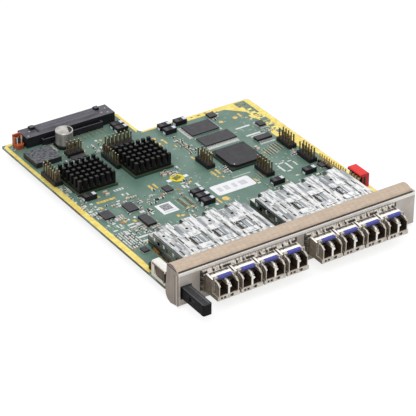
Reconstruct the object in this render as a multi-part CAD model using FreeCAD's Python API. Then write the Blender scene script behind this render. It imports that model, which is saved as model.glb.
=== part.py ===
"""Double-width switch line card with two ganged cages of pluggable optical modules.

Frame, in millimetres: +X along the front panel, +Y from the panel towards the rear connector,
+Z out of the component side of the board. The origin lies on the panel's outer face, on the
card's centre line, level with the component side of the board.
"""
import FreeCAD, Part
import math
import os

from FreeCAD import Vector

# ---- Ganged cages ----
BAYS = 4                    # bays in one cage
BAY_PITCH = 14.25           # distance from bay to bay
CAGE_T = 0.3                # sheet thickness
CAGE_H = 9.8                # height above the board
CAGE_NOSE = 2.0             # reach in front of the panel's face
CAGE_REAR = 51.5            # rear wall behind the panel's face
CAGE_STEP_Y = 47.0          # rear edge of the full-height roof between the hoods
CAGE_STEP_H = 6.6           # height behind that edge
CAGE_STEP_BEVEL = 0.8       # bevel of that edge
HOOD_LEFT = 5.0             # full-height hood at the rear of each bay, from its left divider
HOOD_W = 7.0
HOOD_BEVEL = 1.6            # bevelled upper rear edge of a hood
CAGE_OPENING_SIDE = 1.3     # gap from the cage to the panel opening at the sides
CAGE_OPENING_TOP = 2.2      # gap above the cage in the panel opening
CAGE_OPENING_BOTTOM = 0.4   # gap below the cage in the panel opening
WINDOW_W = 4.0              # windows in the cage roof, over the inner dividers
WINDOW_SHIFT = 0.25         # window's centre to the right of its divider
WINDOW_FRONT = 24.0
WINDOW_L = 8.2
BEAD_W = 8.5                # stiffening beads in front of and behind each window
BEAD_SHIFT = 2.1            # bead's centre to the right of its divider
BEAD_L = 3.9
BEAD_H = 0.35
BEAD_GAP = 0.4              # flat sheet between a window and its beads
VENT_SIZE = 1.5             # square inspection hole in each bay's roof
VENT_Y = 40.8
VENT_INSET = 2.75           # hole centre from the bay's left divider
SIDE_SLOT_L = 4.6           # slots in the outer side walls
SIDE_SLOT_H = 2.4
SIDE_SLOT_Y = (20.0, 29.0, 38.0)
SIDE_SLOT_Z = 4.2

# ---- Spring collars between cage and panel ----
COLLAR_T = 0.25
COLLAR_L = 0.6              # band around the cage in front of the panel
RAMP_L = 1.8                # length of the spring ramp behind the band
RAMP_CLEARANCE = 0.15       # from the ramp's rear edge to the panel opening
RAMP_SLOT_W = 4.9           # slots of the ramp over the dividers and at its ends
RAMP_HOLES = (-1.0, 3.1)    # key-shaped gaps between the springs, from the bay's centre
RAMP_HOLE_W = 1.2
RAMP_HOLE_L = 1.0           # length of slots and gaps from the band
RAMP_SLIT_W = 0.5           # narrow part of a gap up to the ramp's rear edge
SIDE_FINGERS = 3
SIDE_FINGER_W = 1.5
SIDE_FINGER_PITCH = 2.6

# ---- Board ----
BOARD_T = 1.6               # laminate thickness
BOARD_FRONT = 1.6           # gap from the panel's outer face to the board's front edge
SIDE_LEFT = 14.1            # board left of the left cage
SIDE_RIGHT = 12.6           # board right of the right cage
CAGE_SPACING = 7.2          # between the two cages
NOTCH_R = 2.0               # fillet in the inner corner beside the tongue
CORNER_R = 3.0              # rounded outer corners
CORNER_CHAMFER = 2.5        # chamfer on the tongue's right corner
FRONT_NOTCH_FIT = 0.2       # from the board to the panel's left end flange
TONGUE_SIDE = 6.0           # from the rear connector to the tongue's right edge

# ---- Front panel: a folded sheet with upper, lower and end flanges ----
PANEL_LEFT_OVERHANG = 0.15  # panel's left end beyond the board's edge
PANEL_RIGHT_OVERHANG = 1.7  # the right end stands clear of the board
PANEL_T = 1.2               # sheet thickness
PANEL_HEAD = 4.7            # top of the face above the cages
PANEL_BELOW = 5.1           # bottom of the face below the board
BEND_R = 0.8                # outer radius of the folds
FLANGE_DEPTH = 10.8         # depth of the upper flange
SKIRT_DEPTH = 12.8          # depth of the end flanges at their lower rear corner
SKIRT_DROP = 2.9            # fall of the lower flange below the face
SKIRT_R = 5.0               # rounding of the end flanges' lower rear corner

# ---- Gasket along the upper flange: fabric over a foam core ----
GASKET_H = 2.6              # crown above the upper flange
GASKET_INSET = 1.8          # right end from the panel's right end
GASKET_SKIN = 0.3           # fabric thickness
GASKET_SETBACK = 0.9        # front edge behind the panel's face
GASKET_CLEARANCE = 0.05     # between foam crown and fabric

# ---- Optical modules ----
MODULE_FIT = 0.275          # from a module to the walls of its bay
MODULE_HEADROOM = 0.7       # from a module to the cage roof
MODULE_REAR = 41.0          # rear of the body inside the cage
NOSE_FRONT = 13.7           # reach of the nose in front of the panel
NOSE_BACK = 2.2             # nose starts this far in front of the panel
NOSE_RISE_BACK = 1.1        # nose above the cage at its rear
NOSE_RISE_FRONT = 0.2       # nose above the cage where the front slope starts
NOSE_SLOPE_Y = 11.9         # start of the front slope
NOSE_FACE_DROP = 1.3        # top of the upright front edge below the cage roof
WELL_FRONT = 4.5            # front end of the well in the nose's top
WELL_LEFT = 1.3             # shoulder left of the well
WELL_RIGHT = 0.8            # shoulder right of the well
WELL_FLOOR = 0.2            # floor of the well below the cage roof
NOSE_WALL = 1.2             # outer wall of a port
PORT_RIB = 1.2              # rib between the two ports for fibre plugs
PORT_FLOOR = 3.0            # port floor above the board
PORT_DEPTH = 10.0
KEY_SLOT_W = 3.8            # latch slot over each port, open to the top
KEY_SLOT_L = 6.0
LIP_HOLES = ((-4.1, 0.9), (-2.6, 0.9), (1.6, 1.9))    # small recesses in the lip: offset, width
LIP_HOLE_H = 0.9
LIP_HOLE_D = 0.6
PADDLE_SIDE = 2.1           # from the body's side to the edge board at the rear
PADDLE_T = 1.0
PADDLE_L = 5.0
PADDLE_Z = 3.4              # middle of the edge board above the cage floor

# ---- Bails: pull bars that unlock the modules ----
BAIL_PIVOT_Y = -9.5
BAIL_PIVOT_Z = 4.5
BAIL_BAR_Y = -9.5           # centre of the bar at rest
BAIL_BAR_RISE = 0.7         # bar above the nose's rear edge at rest
BAIL_ARM_W = 1.2            # width of an arm
BAIL_ARM_T = 0.5            # thickness of an arm
BAIL_PIN_R = 0.45
BAIL_PIN_FIT = 0.05         # radial clearance of the pivot pin
PIVOT_SIDES = 8             # sides of the pivot pins and of their bores
BAIL_SIDE_CLEARANCE = 0.1   # arm to the nose
BAIL_GRIP_SIDE = 2.5        # from the module's side to the grip
BAIL_GRIP_L = 2.2
BAIL_GRIP_H = 1.6
BAIL_GRIP_CHAMFER = 0.45
BAIL_CROSS = 0.9            # thickness of the cross wire
RECESS = 0.75               # depth of the side recess that takes an arm
RECESS_BACK = 8.2           # rear end of the recess in front of the panel
RECESS_FLOOR = 2.6          # lower end of the recess above the board

# ---- Host connectors inside the cages ----
HOST_SIDE = 0.6             # from the module's side to the connector's
HOST_L = 8.2
HOST_H = 5.8
HOST_FIT = 0.1              # clearance around the module's edge board
HOST_GAP = 0.6              # from the connector to the cage's rear wall
HOST_SLOT_L = 6.0

# ---- Pull handle with its latch ----
HANDLE_INSET = 2.0          # handle's left face from the panel's left end
HANDLE_T = 5.3
HANDLE_Z = -0.7             # underside
HANDLE_H = 6.4
HANDLE_REACH = 20.0         # in front of the panel
HANDLE_ROUND = 1.0
HANDLE_SLOT_REAR = 7.0      # grip recess in the outer side, in front of the panel
HANDLE_SLOT_L = 5.0
HANDLE_SLOT_H = 3.0
HANDLE_SLOT_D = 0.8
STEM_Z = 0.5                # underside of the stem behind the panel
STEM_H = 4.6
STEM_T = 2.6
STEM_INSET = 0.55           # from the handle's left face
STEM_REAR = 14.0
ROD_R = 0.9                 # latch rod in the stem's end
ROD_REAR = 23.0
ROD_EMBED = 3.0             # length of the rod inside the stem

# ---- Latch bracket on the board's front left corner ----
BRACKET_W = 5.6
BRACKET_GAP = 0.1           # behind the panel's end flange
BRACKET_L = 13.1
BRACKET_H = 9.0
BRACKET_T = 0.5
BRACKET_BEND_R = 1.4        # outer radius of the bends along the top
BRACKET_WINDOW_MARGIN = 1.6
BRACKET_FOOT_L = 6.0
BRACKET_FOOT_W = 4.0

# ---- Handle switch ----
SWITCH_W = 3.0
SWITCH_L = 5.5
SWITCH_H = 3.6
SWITCH_GAP = 0.4            # behind the bracket
SWITCH_SHIFT = 1.0          # from the bracket's centre line

# ---- Right panel block and screws ----
BLOCK_W = 6.0
BLOCK_L = 5.0
BLOCK_H = 6.0
BLOCK_INSET = 4.5
SCREW_R = 1.0
SCREW_HEAD_R = 1.9
SCREW_HEAD_H = 0.9
SCREW_LENGTH = 3.2
SCREW_FIT = 0.2
SCREW_TIP_GAP = 0.2         # from the screw's tip to the end of its thread
PILOT_FIT = 0.02

# ---- Heat sinks on their switch chips ----
CHIP_1_SIDE = 7.9           # first chip from the board's left edge
CHIP_SPACING = 11.0         # between the two chips
CHIP_FRONT = 60.8           # behind the cages
CHIP_MARGIN = 1.0           # substrate beyond the heat sink
CHIP_H = 1.3
SINK_SIZE = 23.0
SINK_BASE = 1.8
SINK_H = 7.5
SINK_COLUMNS = 7
SINK_ROWS = 6
SINK_PIN = 1.8

# ---- Rear connector ----
CONN_LEFT = 10.75           # left end from the board's left edge
CONN_W = 57.5
CONN_BEHIND_CHIPS = 34.5    # front face behind the switch chips
CONN_L = 13.2
CONN_H = 6.5                # end blocks
CONN_STEP_H = 3.9           # lower body between the end blocks
CONN_TROUGH_WALL = 0.8      # walls of the open trough in front of the upper bar
CONN_TROUGH_FLOOR = 1.0
CONN_END_W = 9.2            # end blocks
CONN_END_SETBACK = 2.2      # front of the end blocks behind the front face
CONN_BAR_SETBACK = 4.7      # front of the upper bar behind the front face
CONN_BAR_H = 7.2
CONN_BEVEL = 0.8            # bevel along the upper bar
CONN_LUG_W = 2.6
CONN_LUG_H = 8.2
CONN_LUG_L = 4.0
CONN_LUG_INSET = 6.3
CONN_BLADE_L = 5.0          # contact blade in the plane of the board
CONN_BLADE_FIT = 0.15
CONN_OVERHANG = 1.0         # connector beyond the board's rear edge
CONTACTS = 40
CONTACT_T = 0.12
CONTACT_FILL = 0.55         # share of the pitch that a contact takes
CONTACT_MARGIN = 2.0        # bare blade at each end
TAIL_W = 0.6
TAIL_T = 0.3
TAIL_L = 5.6
TAIL_PITCH = 2.7
TAIL_GAP = 0.2              # from the last tail to the capacitor

# ---- Fuse holder, electrolytic capacitor, power module ----
FUSE_X = 7.5                # centre from the board's left edge
FUSE_SETBACK = 6.2          # centre behind the connector's front face
FUSE_W = 5.0
FUSE_L = 5.8
FUSE_H = 7.7
FUSE_WALL = 0.9
FUSE_CLAW_L = 3.0           # depth of the tall walls
FUSE_CLAW_STEP = 1.2        # side wall below the rear wall
FUSE_FOOT_H = 2.6
FUSE_FOOT_R = 1.8           # rounded front corners of the foot
LINK_W = 1.8                # flat blade between the walls
LINK_T = 0.6
LINK_SINK = 1.6             # blade's end below the walls
CAN_INSET = 19.65           # centre from the connector's left end
CAN_GAP = 0.25              # from the capacitor's seat to the rear connector
CAN_R = 5.0
CAN_H = 9.8
CAN_BASE = 10.3
CAN_BASE_H = 1.8
CAN_BEVEL = 0.5
POWER_X = 12.0
POWER_AHEAD = 12.8          # centre in front of the connector's front face
POWER_W = 16.0
POWER_L = 15.0
POWER_H = 3.2

# ---- Processor ----
CPU_X = 43.3                # centre from the board's right edge
CPU_BEHIND = 39.0           # front edge behind the cages
CPU_W = 23.5
CPU_L = 24.0
CPU_H = 0.8
CPU_MARGIN = 2.0            # substrate around the cap
CPU_CAP_H = 1.2

# ---- Memory chips with gull-wing leads ----
MEM_B_X = 42.2              # centre from the board's right edge
MEM_B_W = 21.0
MEM_B_L = 10.2
MEM_B_GAP = 5.0             # leads behind the processor
MEM_A_X = 43.5
MEM_A_W = 18.4
MEM_A_L = 11.8
MEM_A_GAP = 2.5             # body behind the first chip's leads
MEM_A_REAR = 10.1           # board behind the second chip
MEM_H = 1.2
LEAD_REACH = 1.2
LEAD_T = 0.2
LEAD_W = 0.6
LEAD_PITCH = 1.2

# ---- Small packages: distance from the side edge, distance behind the cages, width, length, height
LEFT_PACKAGES = ((10.3, 35.8, 6.2, 8.0, 1.4), (25.3, 36.0, 6.2, 8.6, 1.4), (52.5, 41.5, 4.6, 5.6, 1.4),
                 (25.5, 19.0, 5.4, 10.5, 2.2), (9.3, -4.5, 3.6, 4.2, 1.4), (29.5, 98.0, 9.0, 3.6, 1.2))
RIGHT_PACKAGES = ((30.2, 97.7, 5.0, 5.0, 1.6), (10.0, 17.0, 3.4, 4.6, 1.5))
SO8 = (11.8, 74.5, 4.0, 5.0, 1.6)            # small outline package with leads at its sides
SO16 = (19.8, 60.5, 10.0, 4.4, 1.8)          # with leads at front and rear

# ---- Moulded chip capacitors ----
TANTALUM_W = 7.3
TANTALUM_L = 4.1
TANTALUM_H = 2.9
LEFT_TANTALUMS = ((12.0, 56.5), (63.8, 29.1), (63.8, 23.8), (63.8, 18.5))
RIGHT_TANTALUMS = ((60.5, 100.8), (60.5, 95.0), (50.0, 100.7), (41.0, 15.5), (19.5, 15.7))
CONN_TANTALUM_X = 2.25      # centre of the pair at the connector from its right end
CONN_TANTALUMS = (8.4, 3.6) # centres in front of the connector's front face

# ---- Pin headers: distance from the side edge, distance behind the cages, columns, rows ----
HEADER_PITCH = 2.54
HEADER_BASE_H = 2.5
HEADER_PIN = 0.64
HEADER_PIN_H = 8.6
HEADER_CHIP_GAP = 0.23      # from the single row to the second switch chip
LEFT_HEADERS = ((29.5, 102.7, 4, 2), (4.9, 84.9, 2, 6), (54.8, 96.7, 7, 2))
RIGHT_HEADERS = ((63.0, 54.3, 2, 5), (12.0, 48.2, 2, 5), (11.4, 29.3, 2, 5), (40.0, 29.5, 2, 5))
SINGLE_HEADER_Y = 84.1
SINGLE_HEADER_PINS = 7

# ---- Switch block at the right front edge ----
DIP_INSET = 0.9             # outer face from the board's right edge
DIP_W = 6.2
DIP_FRONT = 37.2
DIP_POLES = 4
DIP_PITCH = 2.54
DIP_MARGIN = 0.7
DIP_H = 8.6
DIP_ROOF_T = 1.4
DIP_BODY_W = 4.6
DIP_BEVEL = 0.5
DIP_PIN = 0.5
DIP_PIN_ROWS = ((2.2, 0.9), (5.0, 1.5))      # height and reach of each row of pins
SLIDER_W = 1.0
SLIDER_H = 1.2
SLIDER_D = 1.1
SLIDER_FIT = 0.3
SLIDER_TRAVEL = 1.4

# ---- Spring strip beside the left cage ----
STRIP_FRONT = 13.0
STRIP_L = 34.0
STRIP_T = 0.4
STRIP_H = 1.6
STRIP_GAP = 0.4

# ---- Sizes that follow from the ones above ----
CAGE_W = BAYS * BAY_PITCH + CAGE_T
BOARD_W = SIDE_LEFT + 2 * CAGE_W + CAGE_SPACING + SIDE_RIGHT
BOARD_LEFT = -BOARD_W / 2
BOARD_RIGHT = BOARD_W / 2
CAGE_LEFT_X = BOARD_LEFT + SIDE_LEFT + CAGE_W / 2
CAGE_RIGHT_X = BOARD_RIGHT - SIDE_RIGHT - CAGE_W / 2
PANEL_ABOVE = CAGE_H + PANEL_HEAD
PANEL_LEFT = BOARD_LEFT - PANEL_LEFT_OVERHANG
PANEL_RIGHT = BOARD_RIGHT + PANEL_RIGHT_OVERHANG
MODULE_W = BAY_PITCH - CAGE_T - 2 * MODULE_FIT
MODULE_H = CAGE_H - 2 * CAGE_T - MODULE_HEADROOM
PORT_W = (MODULE_W - 2 * NOSE_WALL - PORT_RIB) / 2
NOSE_TOP_BACK = CAGE_H + NOSE_RISE_BACK
NOSE_TOP_FRONT = CAGE_H + NOSE_RISE_FRONT
NOSE_FACE_TOP = CAGE_H - NOSE_FACE_DROP
PADDLE_W = MODULE_W - 2 * PADDLE_SIDE
HOST_W = MODULE_W - 2 * HOST_SIDE
BAIL_BAR_Z = NOSE_TOP_BACK + BAIL_BAR_RISE
BRACKET_FRONT = SKIRT_DEPTH + BRACKET_GAP
BRACKET_REAR = BRACKET_FRONT + BRACKET_L
CHIP_SIZE = SINK_SIZE + 2 * CHIP_MARGIN
SINK_Y = CAGE_REAR + CHIP_FRONT + CHIP_SIZE / 2
SINK_1_X = BOARD_LEFT + CHIP_1_SIDE + CHIP_SIZE / 2
SINK_2_X = SINK_1_X + CHIP_SIZE + CHIP_SPACING
CONN_FRONT = SINK_Y + CHIP_SIZE / 2 + CONN_BEHIND_CHIPS
CONN_REAR = CONN_FRONT + CONN_L
TONGUE_REAR = CONN_REAR - CONN_OVERHANG
TONGUE_RIGHT = BOARD_LEFT + CONN_LEFT + CONN_W + TONGUE_SIDE
CAN_X = BOARD_LEFT + CONN_LEFT + CAN_INSET
CAN_Y = CONN_FRONT - CAN_GAP - CAN_BASE / 2
CPU_Y = CAGE_REAR + CPU_BEHIND + CPU_L / 2
MEM_B_Y = CPU_Y + CPU_L / 2 + MEM_B_GAP + LEAD_REACH + MEM_B_L / 2
MEM_A_Y = MEM_B_Y + MEM_B_L / 2 + LEAD_REACH + MEM_A_GAP + MEM_A_L / 2
BODY_REAR = MEM_A_Y + MEM_A_L / 2 + MEM_A_REAR


def block(x_low, x_high, y_low, y_high, z_low, z_high):
    """Return a box between two corners."""
    corner = Vector(x_low, y_low, z_low)
    return Part.makeBox(x_high - x_low, y_high - y_low, z_high - z_low, corner)


def block_at(x, y, z, width, length, height):
    """Return a box centred on (x, y) that stands on height z."""
    return block(x - width / 2, x + width / 2, y - length / 2, y + length / 2, z, z + height)


def prism(outline, x_low, x_high):
    """Return a prism along X over a closed outline of (y, z) points."""
    points = [Vector(x_low, y, z) for y, z in outline]
    face = Part.Face(Part.makePolygon(points + points[:1]))
    return face.extrude(Vector(x_high - x_low, 0, 0))


def rod(start, direction, radius, length):
    """Return a cylinder from a start point along a direction."""
    return Part.makeCylinder(radius, length, Vector(*start), Vector(*direction))


def fuse(first, *others):
    """Return one solid made of touching or overlapping shapes, with its seams removed."""
    return first.multiFuse(list(others)).removeSplitter() if others else first


def edges_near(shape, point, tolerance=0.05):
    """Return the edges whose middle lies at a point; None leaves a coordinate free."""
    found = []
    for edge in shape.Edges:
        middle = edge.CenterOfMass
        pairs = zip((middle.x, middle.y, middle.z), point)
        if all(wanted is None or abs(value - wanted) < tolerance for value, wanted in pairs):
            found.append(edge)
    return found


def save(name, *solids):
    """Write one sub-part, which may be a group of separate solids."""
    shape = solids[0] if len(solids) == 1 else Part.makeCompound(list(solids))
    shape.exportStep("parts/" + name + ".step")


def from_left(x):
    """Return the X of a place given from the board's left edge."""
    return BOARD_LEFT + x


def from_right(x):
    """Return the X of a place given from the board's right edge."""
    return BOARD_RIGHT - x


def behind_cages(y):
    """Return the Y of a place given from the cages' rear wall."""
    return CAGE_REAR + y


def front_places(places, side):
    """Return the board places of a table whose first two columns are edge and cage distances."""
    return [(side(row[0]), behind_cages(row[1]), *row[2:]) for row in places]


def bay_centres(cage_x):
    """Return the X of each bay's centre in one cage."""
    first = cage_x - (BAYS - 1) * BAY_PITCH / 2
    return [first + index * BAY_PITCH for index in range(BAYS)]


def connector_span():
    """Return the rear connector's left and right ends."""
    left = from_left(CONN_LEFT)
    return left, left + CONN_W


def screw_places():
    """Return the centres of the screws that hold the bracket and the right block."""
    return [bracket_foot_centre(), block_centre()]


def bracket_foot_centre():
    """Return the centre of the hole in the latch bracket's foot."""
    x = PANEL_LEFT + BRACKET_W + BRACKET_FOOT_W / 2
    return x, BRACKET_REAR - BRACKET_FOOT_L / 2


def block_centre():
    """Return the centre of the right panel block."""
    return from_right(BLOCK_INSET + BLOCK_W / 2), BOARD_FRONT + BLOCK_L / 2


def board():
    """Laminate with a rear tongue, rounded corners, a connector cut-out and screw holes."""
    low, high = -BOARD_T, 0.0
    body = block(BOARD_LEFT, BOARD_RIGHT, BOARD_FRONT, BODY_REAR, low, high)
    tongue = block(BOARD_LEFT, TONGUE_RIGHT, BOARD_FRONT, TONGUE_REAR, low, high)
    plate = fuse(body, tongue)
    middle = (low + high) / 2
    plate = plate.makeFillet(NOTCH_R, edges_near(plate, (TONGUE_RIGHT, BODY_REAR, middle)))
    plate = plate.makeFillet(CORNER_R, edges_near(plate, (BOARD_RIGHT, BODY_REAR, middle)))
    corner = edges_near(plate, (TONGUE_RIGHT, TONGUE_REAR, middle))
    plate = plate.makeChamfer(CORNER_CHAMFER, corner)
    left, right = connector_span()
    fit = CONN_BLADE_FIT
    rear = CONN_REAR - CONN_BLADE_L
    plate = plate.cut(block(left - fit, right + fit, rear, TONGUE_REAR + 1, low - 1, high + 1))
    for x, y in screw_places():
        plate = plate.cut(rod((x, y, low - 1), (0, 0, 1), SCREW_R + SCREW_FIT, BOARD_T + 2))
    wall = PANEL_LEFT + PANEL_T + FRONT_NOTCH_FIT
    return plate.cut(block(PANEL_LEFT, wall, 0, SKIRT_DEPTH + FRONT_NOTCH_FIT, low - 1, high + 1))


def skirt_outline():
    """Return the end flange's side view as (y, z) points."""
    drop = -PANEL_BELOW - SKIRT_DROP
    return [(0, PANEL_ABOVE), (0, -PANEL_BELOW), (SKIRT_DEPTH, drop), (FLANGE_DEPTH, PANEL_ABOVE)]


def end_flange(x_low):
    """Return one end flange with its rounded lower rear corner."""
    plate = prism(skirt_outline(), x_low, x_low + PANEL_T)
    corner = (x_low + PANEL_T / 2, SKIRT_DEPTH, -PANEL_BELOW - SKIRT_DROP)
    return plate.makeFillet(SKIRT_R, edges_near(plate, corner))


def lower_flange():
    """Return the sloping lower flange, which meets the end flanges' lower edges."""
    reach = SKIRT_DEPTH - SKIRT_R
    fall = SKIRT_DROP * reach / SKIRT_DEPTH
    bottom = -PANEL_BELOW
    outline = [(0, bottom), (reach, bottom - fall), (reach, bottom - fall + PANEL_T), (0, bottom + PANEL_T)]
    return prism(outline, PANEL_LEFT, PANEL_RIGHT)


def handle_span():
    """Return the handle's left and right faces."""
    left = PANEL_LEFT + HANDLE_INSET
    return left, left + HANDLE_T


def front_panel():
    """Folded panel with its flanges, two cage openings and the handle's slot."""
    face = block(PANEL_LEFT, PANEL_RIGHT, 0, PANEL_T, -PANEL_BELOW, PANEL_ABOVE)
    upper = block(PANEL_LEFT, PANEL_RIGHT, 0, FLANGE_DEPTH, PANEL_ABOVE - PANEL_T, PANEL_ABOVE)
    ends = [end_flange(PANEL_LEFT), end_flange(PANEL_RIGHT - PANEL_T)]
    shell = fuse(face, upper, lower_flange(), *ends)
    folds = edges_near(shell, (None, 0, PANEL_ABOVE)) + edges_near(shell, (None, 0, -PANEL_BELOW))
    for x in (PANEL_LEFT, PANEL_RIGHT):
        folds += edges_near(shell, (x, 0, (PANEL_ABOVE - PANEL_BELOW) / 2))
    shell = shell.makeFillet(BEND_R, folds)
    for cage_x in (CAGE_LEFT_X, CAGE_RIGHT_X):
        half = CAGE_W / 2 + CAGE_OPENING_SIDE
        low, high = -CAGE_OPENING_BOTTOM, CAGE_H + CAGE_OPENING_TOP
        shell = shell.cut(block(cage_x - half, cage_x + half, -1, PANEL_T + 1, low, high))
    left, right = handle_span()
    gap = HANDLE_INSET - PANEL_T
    slot = block(left - gap, right + gap, -1, PANEL_T + 1, HANDLE_Z - gap, HANDLE_Z + HANDLE_H + gap)
    return shell.cut(slot)


def crown(x_low, x_high, setback, height):
    """Return a strip on the upper flange with a domed section."""
    front = GASKET_SETBACK + setback
    rear = FLANGE_DEPTH + GASKET_SKIN - setback
    base = PANEL_ABOVE
    middle = (front + rear) / 2
    arc = Part.Arc(Vector(x_low, front, base), Vector(x_low, middle, base + height),
                   Vector(x_low, rear, base)).toShape()
    chord = Part.makeLine(Vector(x_low, rear, base), Vector(x_low, front, base))
    return Part.Face(Part.Wire([arc, chord])).extrude(Vector(x_high - x_low, 0, 0))


def gasket_foam():
    """Foam core of the gasket."""
    setback = GASKET_SKIN + GASKET_CLEARANCE
    return crown(PANEL_LEFT, PANEL_RIGHT - GASKET_INSET, setback, GASKET_H - setback)


def gasket_fabric():
    """Conductive fabric over the foam."""
    outer = crown(PANEL_LEFT, PANEL_RIGHT - GASKET_INSET, 0, GASKET_H)
    inner = crown(PANEL_LEFT - 1, PANEL_RIGHT + 1, GASKET_SKIN, GASKET_H - GASKET_SKIN)
    return outer.cut(inner)


def cage_volume(left, right, hoods, inset):
    """Return a cage's or bay's full volume between two sides, shrunk by an inset.

    It has its full height up to the step, is low behind it, and carries bevelled hoods there.
    """
    front, low, roof = -CAGE_NOSE - inset, inset, CAGE_H - inset
    step, rear = CAGE_STEP_Y - inset, CAGE_REAR - inset
    tall = block(left + inset, right - inset, front, step, low, roof)
    tall = tall.makeChamfer(CAGE_STEP_BEVEL, edges_near(tall, (None, step, roof)))
    flat = block(left + inset, right - inset, front, rear, low, CAGE_STEP_H - inset)
    shapes = [flat]
    for x in hoods:
        hood = block(x + inset, x + HOOD_W - inset, step - HOOD_BEVEL, rear, low, roof)
        shapes.append(hood.makeChamfer(HOOD_BEVEL, edges_near(hood, (None, rear, roof))))
    return fuse(tall, *shapes)


def hood_left(x):
    """Return the left side of the hood of the bay centred on x."""
    return x - BAY_PITCH / 2 + HOOD_LEFT


def bay_hollow(x):
    """Return the space inside one bay, open at the front, and its roof vent."""
    half = (BAY_PITCH + CAGE_T) / 2
    hollow = cage_volume(x - half, x + half, [hood_left(x)], CAGE_T)
    vent = block_at(x - BAY_PITCH / 2 + VENT_INSET, VENT_Y, CAGE_H - 1, VENT_SIZE, VENT_SIZE, 2)
    return hollow.fuse(vent)


def roof_windows(divider_x):
    """Return the two halves of the roof window over a divider, which itself stays whole."""
    centre = divider_x + WINDOW_SHIFT
    rear = WINDOW_FRONT + WINDOW_L
    halves = []
    for edge, far in ((-CAGE_T / 2, centre - WINDOW_W / 2), (CAGE_T / 2, centre + WINDOW_W / 2)):
        x_low, x_high = sorted((divider_x + edge, far))
        halves.append(block(x_low, x_high, WINDOW_FRONT, rear, CAGE_H - 2 * CAGE_T, CAGE_H + 1))
    return halves


def roof_beads(divider_x):
    """Return the stiffening beads in front of and behind a roof window."""
    fronts = (WINDOW_FRONT - BEAD_GAP - BEAD_L, WINDOW_FRONT + WINDOW_L + BEAD_GAP)
    middle = divider_x + BEAD_SHIFT
    return [block_at(middle, front + BEAD_L / 2, CAGE_H, BEAD_W, BEAD_L, BEAD_H) for front in fronts]


def side_slots(left, right):
    """Return the slots through a cage's outer side walls."""
    slots = []
    for y in SIDE_SLOT_Y:
        for x in (left, right - CAGE_T):
            slots.append(block(x, x + CAGE_T, y, y + SIDE_SLOT_L, SIDE_SLOT_Z,
                               SIDE_SLOT_Z + SIDE_SLOT_H))
    return slots


def cage(cage_x):
    """Ganged cage: one sheet shell with dividers, roof windows, beads, vents and side slots."""
    left, right = cage_x - CAGE_W / 2, cage_x + CAGE_W / 2
    centres = bay_centres(cage_x)
    dividers = [x + BAY_PITCH / 2 for x in centres[:-1]]
    shell = cage_volume(left, right, [hood_left(x) for x in centres], 0.0)
    shell = shell.cut([bay_hollow(x) for x in centres])
    shell = shell.cut(side_slots(left, right))
    shell = shell.cut([half for x in dividers for half in roof_windows(x)])
    return fuse(shell, *[bead for x in dividers for bead in roof_beads(x)])


def ramp(rise):
    """Return the outline of a spring ramp from the collar's band: distance along Y, rise."""
    front = COLLAR_L - CAGE_NOSE
    rear = front + RAMP_L
    return [(front - COLLAR_L / 2, 0), (front, 0), (rear, rise), (rear, rise + COLLAR_T),
            (front, COLLAR_T), (front - COLLAR_L / 2, COLLAR_T)]


def ramp_cut(x, width, length):
    """Return the cutter for an opening of a ramp that starts at the collar's band."""
    front = COLLAR_L - CAGE_NOSE
    return block(x - width / 2, x + width / 2, front, front + length, CAGE_H, CAGE_H + CAGE_OPENING_TOP)


def ramp_cuts(cage_x):
    """Return the cutters for one ramp's slots and for the gaps that part it into springs."""
    ends = [cage_x + (index - BAYS / 2) * BAY_PITCH for index in range(BAYS + 1)]
    cuts = [ramp_cut(x, RAMP_SLOT_W, RAMP_HOLE_L) for x in ends]
    for x in [centre + offset for centre in bay_centres(cage_x) for offset in RAMP_HOLES]:
        cuts.append(ramp_cut(x, RAMP_HOLE_W, RAMP_HOLE_L))
        cuts.append(ramp_cut(x, RAMP_SLIT_W, RAMP_L + 1))
    return cuts


def side_finger(wall, side, z):
    """Return one spring finger beside the cage."""
    rise = CAGE_OPENING_SIDE - COLLAR_T - RAMP_CLEARANCE
    points = [Vector(wall + side * reach, y, z - SIDE_FINGER_W / 2) for y, reach in ramp(rise)]
    face = Part.Face(Part.makePolygon(points + points[:1]))
    return face.extrude(Vector(0, 0, SIDE_FINGER_W))


def collar(cage_x):
    """Spring collar around the cage's mouth: band, ramp into the panel opening, side fingers."""
    left, right = cage_x - CAGE_W / 2, cage_x + CAGE_W / 2
    front = -CAGE_NOSE
    outer = block(left - COLLAR_T, right + COLLAR_T, front, front + COLLAR_L, -COLLAR_T,
                  CAGE_H + COLLAR_T)
    band = outer.cut(block(left, right, front - 1, front + COLLAR_L + 1, 0, CAGE_H))
    rise = CAGE_OPENING_TOP - COLLAR_T - RAMP_CLEARANCE
    slope = prism([(y, CAGE_H + z) for y, z in ramp(rise)], left, right)
    parts = [slope.cut(ramp_cuts(cage_x))]
    for side in (-1, 1):
        for index in range(SIDE_FINGERS):
            z = CAGE_H / 2 + (index - (SIDE_FINGERS - 1) / 2) * SIDE_FINGER_PITCH
            parts.append(side_finger(cage_x + side * CAGE_W / 2, side, z))
    return fuse(band, *parts)


def arm_recess(x, side):
    """Return the space that a bail's arm sweeps beside the nose."""
    wall = x + side * (MODULE_W / 2 - RECESS)
    x_low, x_high = sorted((wall, x + side * (MODULE_W / 2 + 1)))
    return block(x_low, x_high, -NOSE_FRONT - 1, -RECESS_BACK, RECESS_FLOOR, NOSE_TOP_BACK + 1)


def port(x):
    """Return one fibre port with the latch slot over it."""
    front = -NOSE_FRONT - 1
    half = PORT_W / 2
    hole = block(x - half, x + half, front, -NOSE_FRONT + PORT_DEPTH, PORT_FLOOR, NOSE_FACE_TOP)
    half = KEY_SLOT_W / 2
    slot = block(x - half, x + half, front, -NOSE_FRONT + KEY_SLOT_L, NOSE_FACE_TOP - 1,
                 NOSE_TOP_BACK + 1)
    return hole.fuse(slot)


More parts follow.
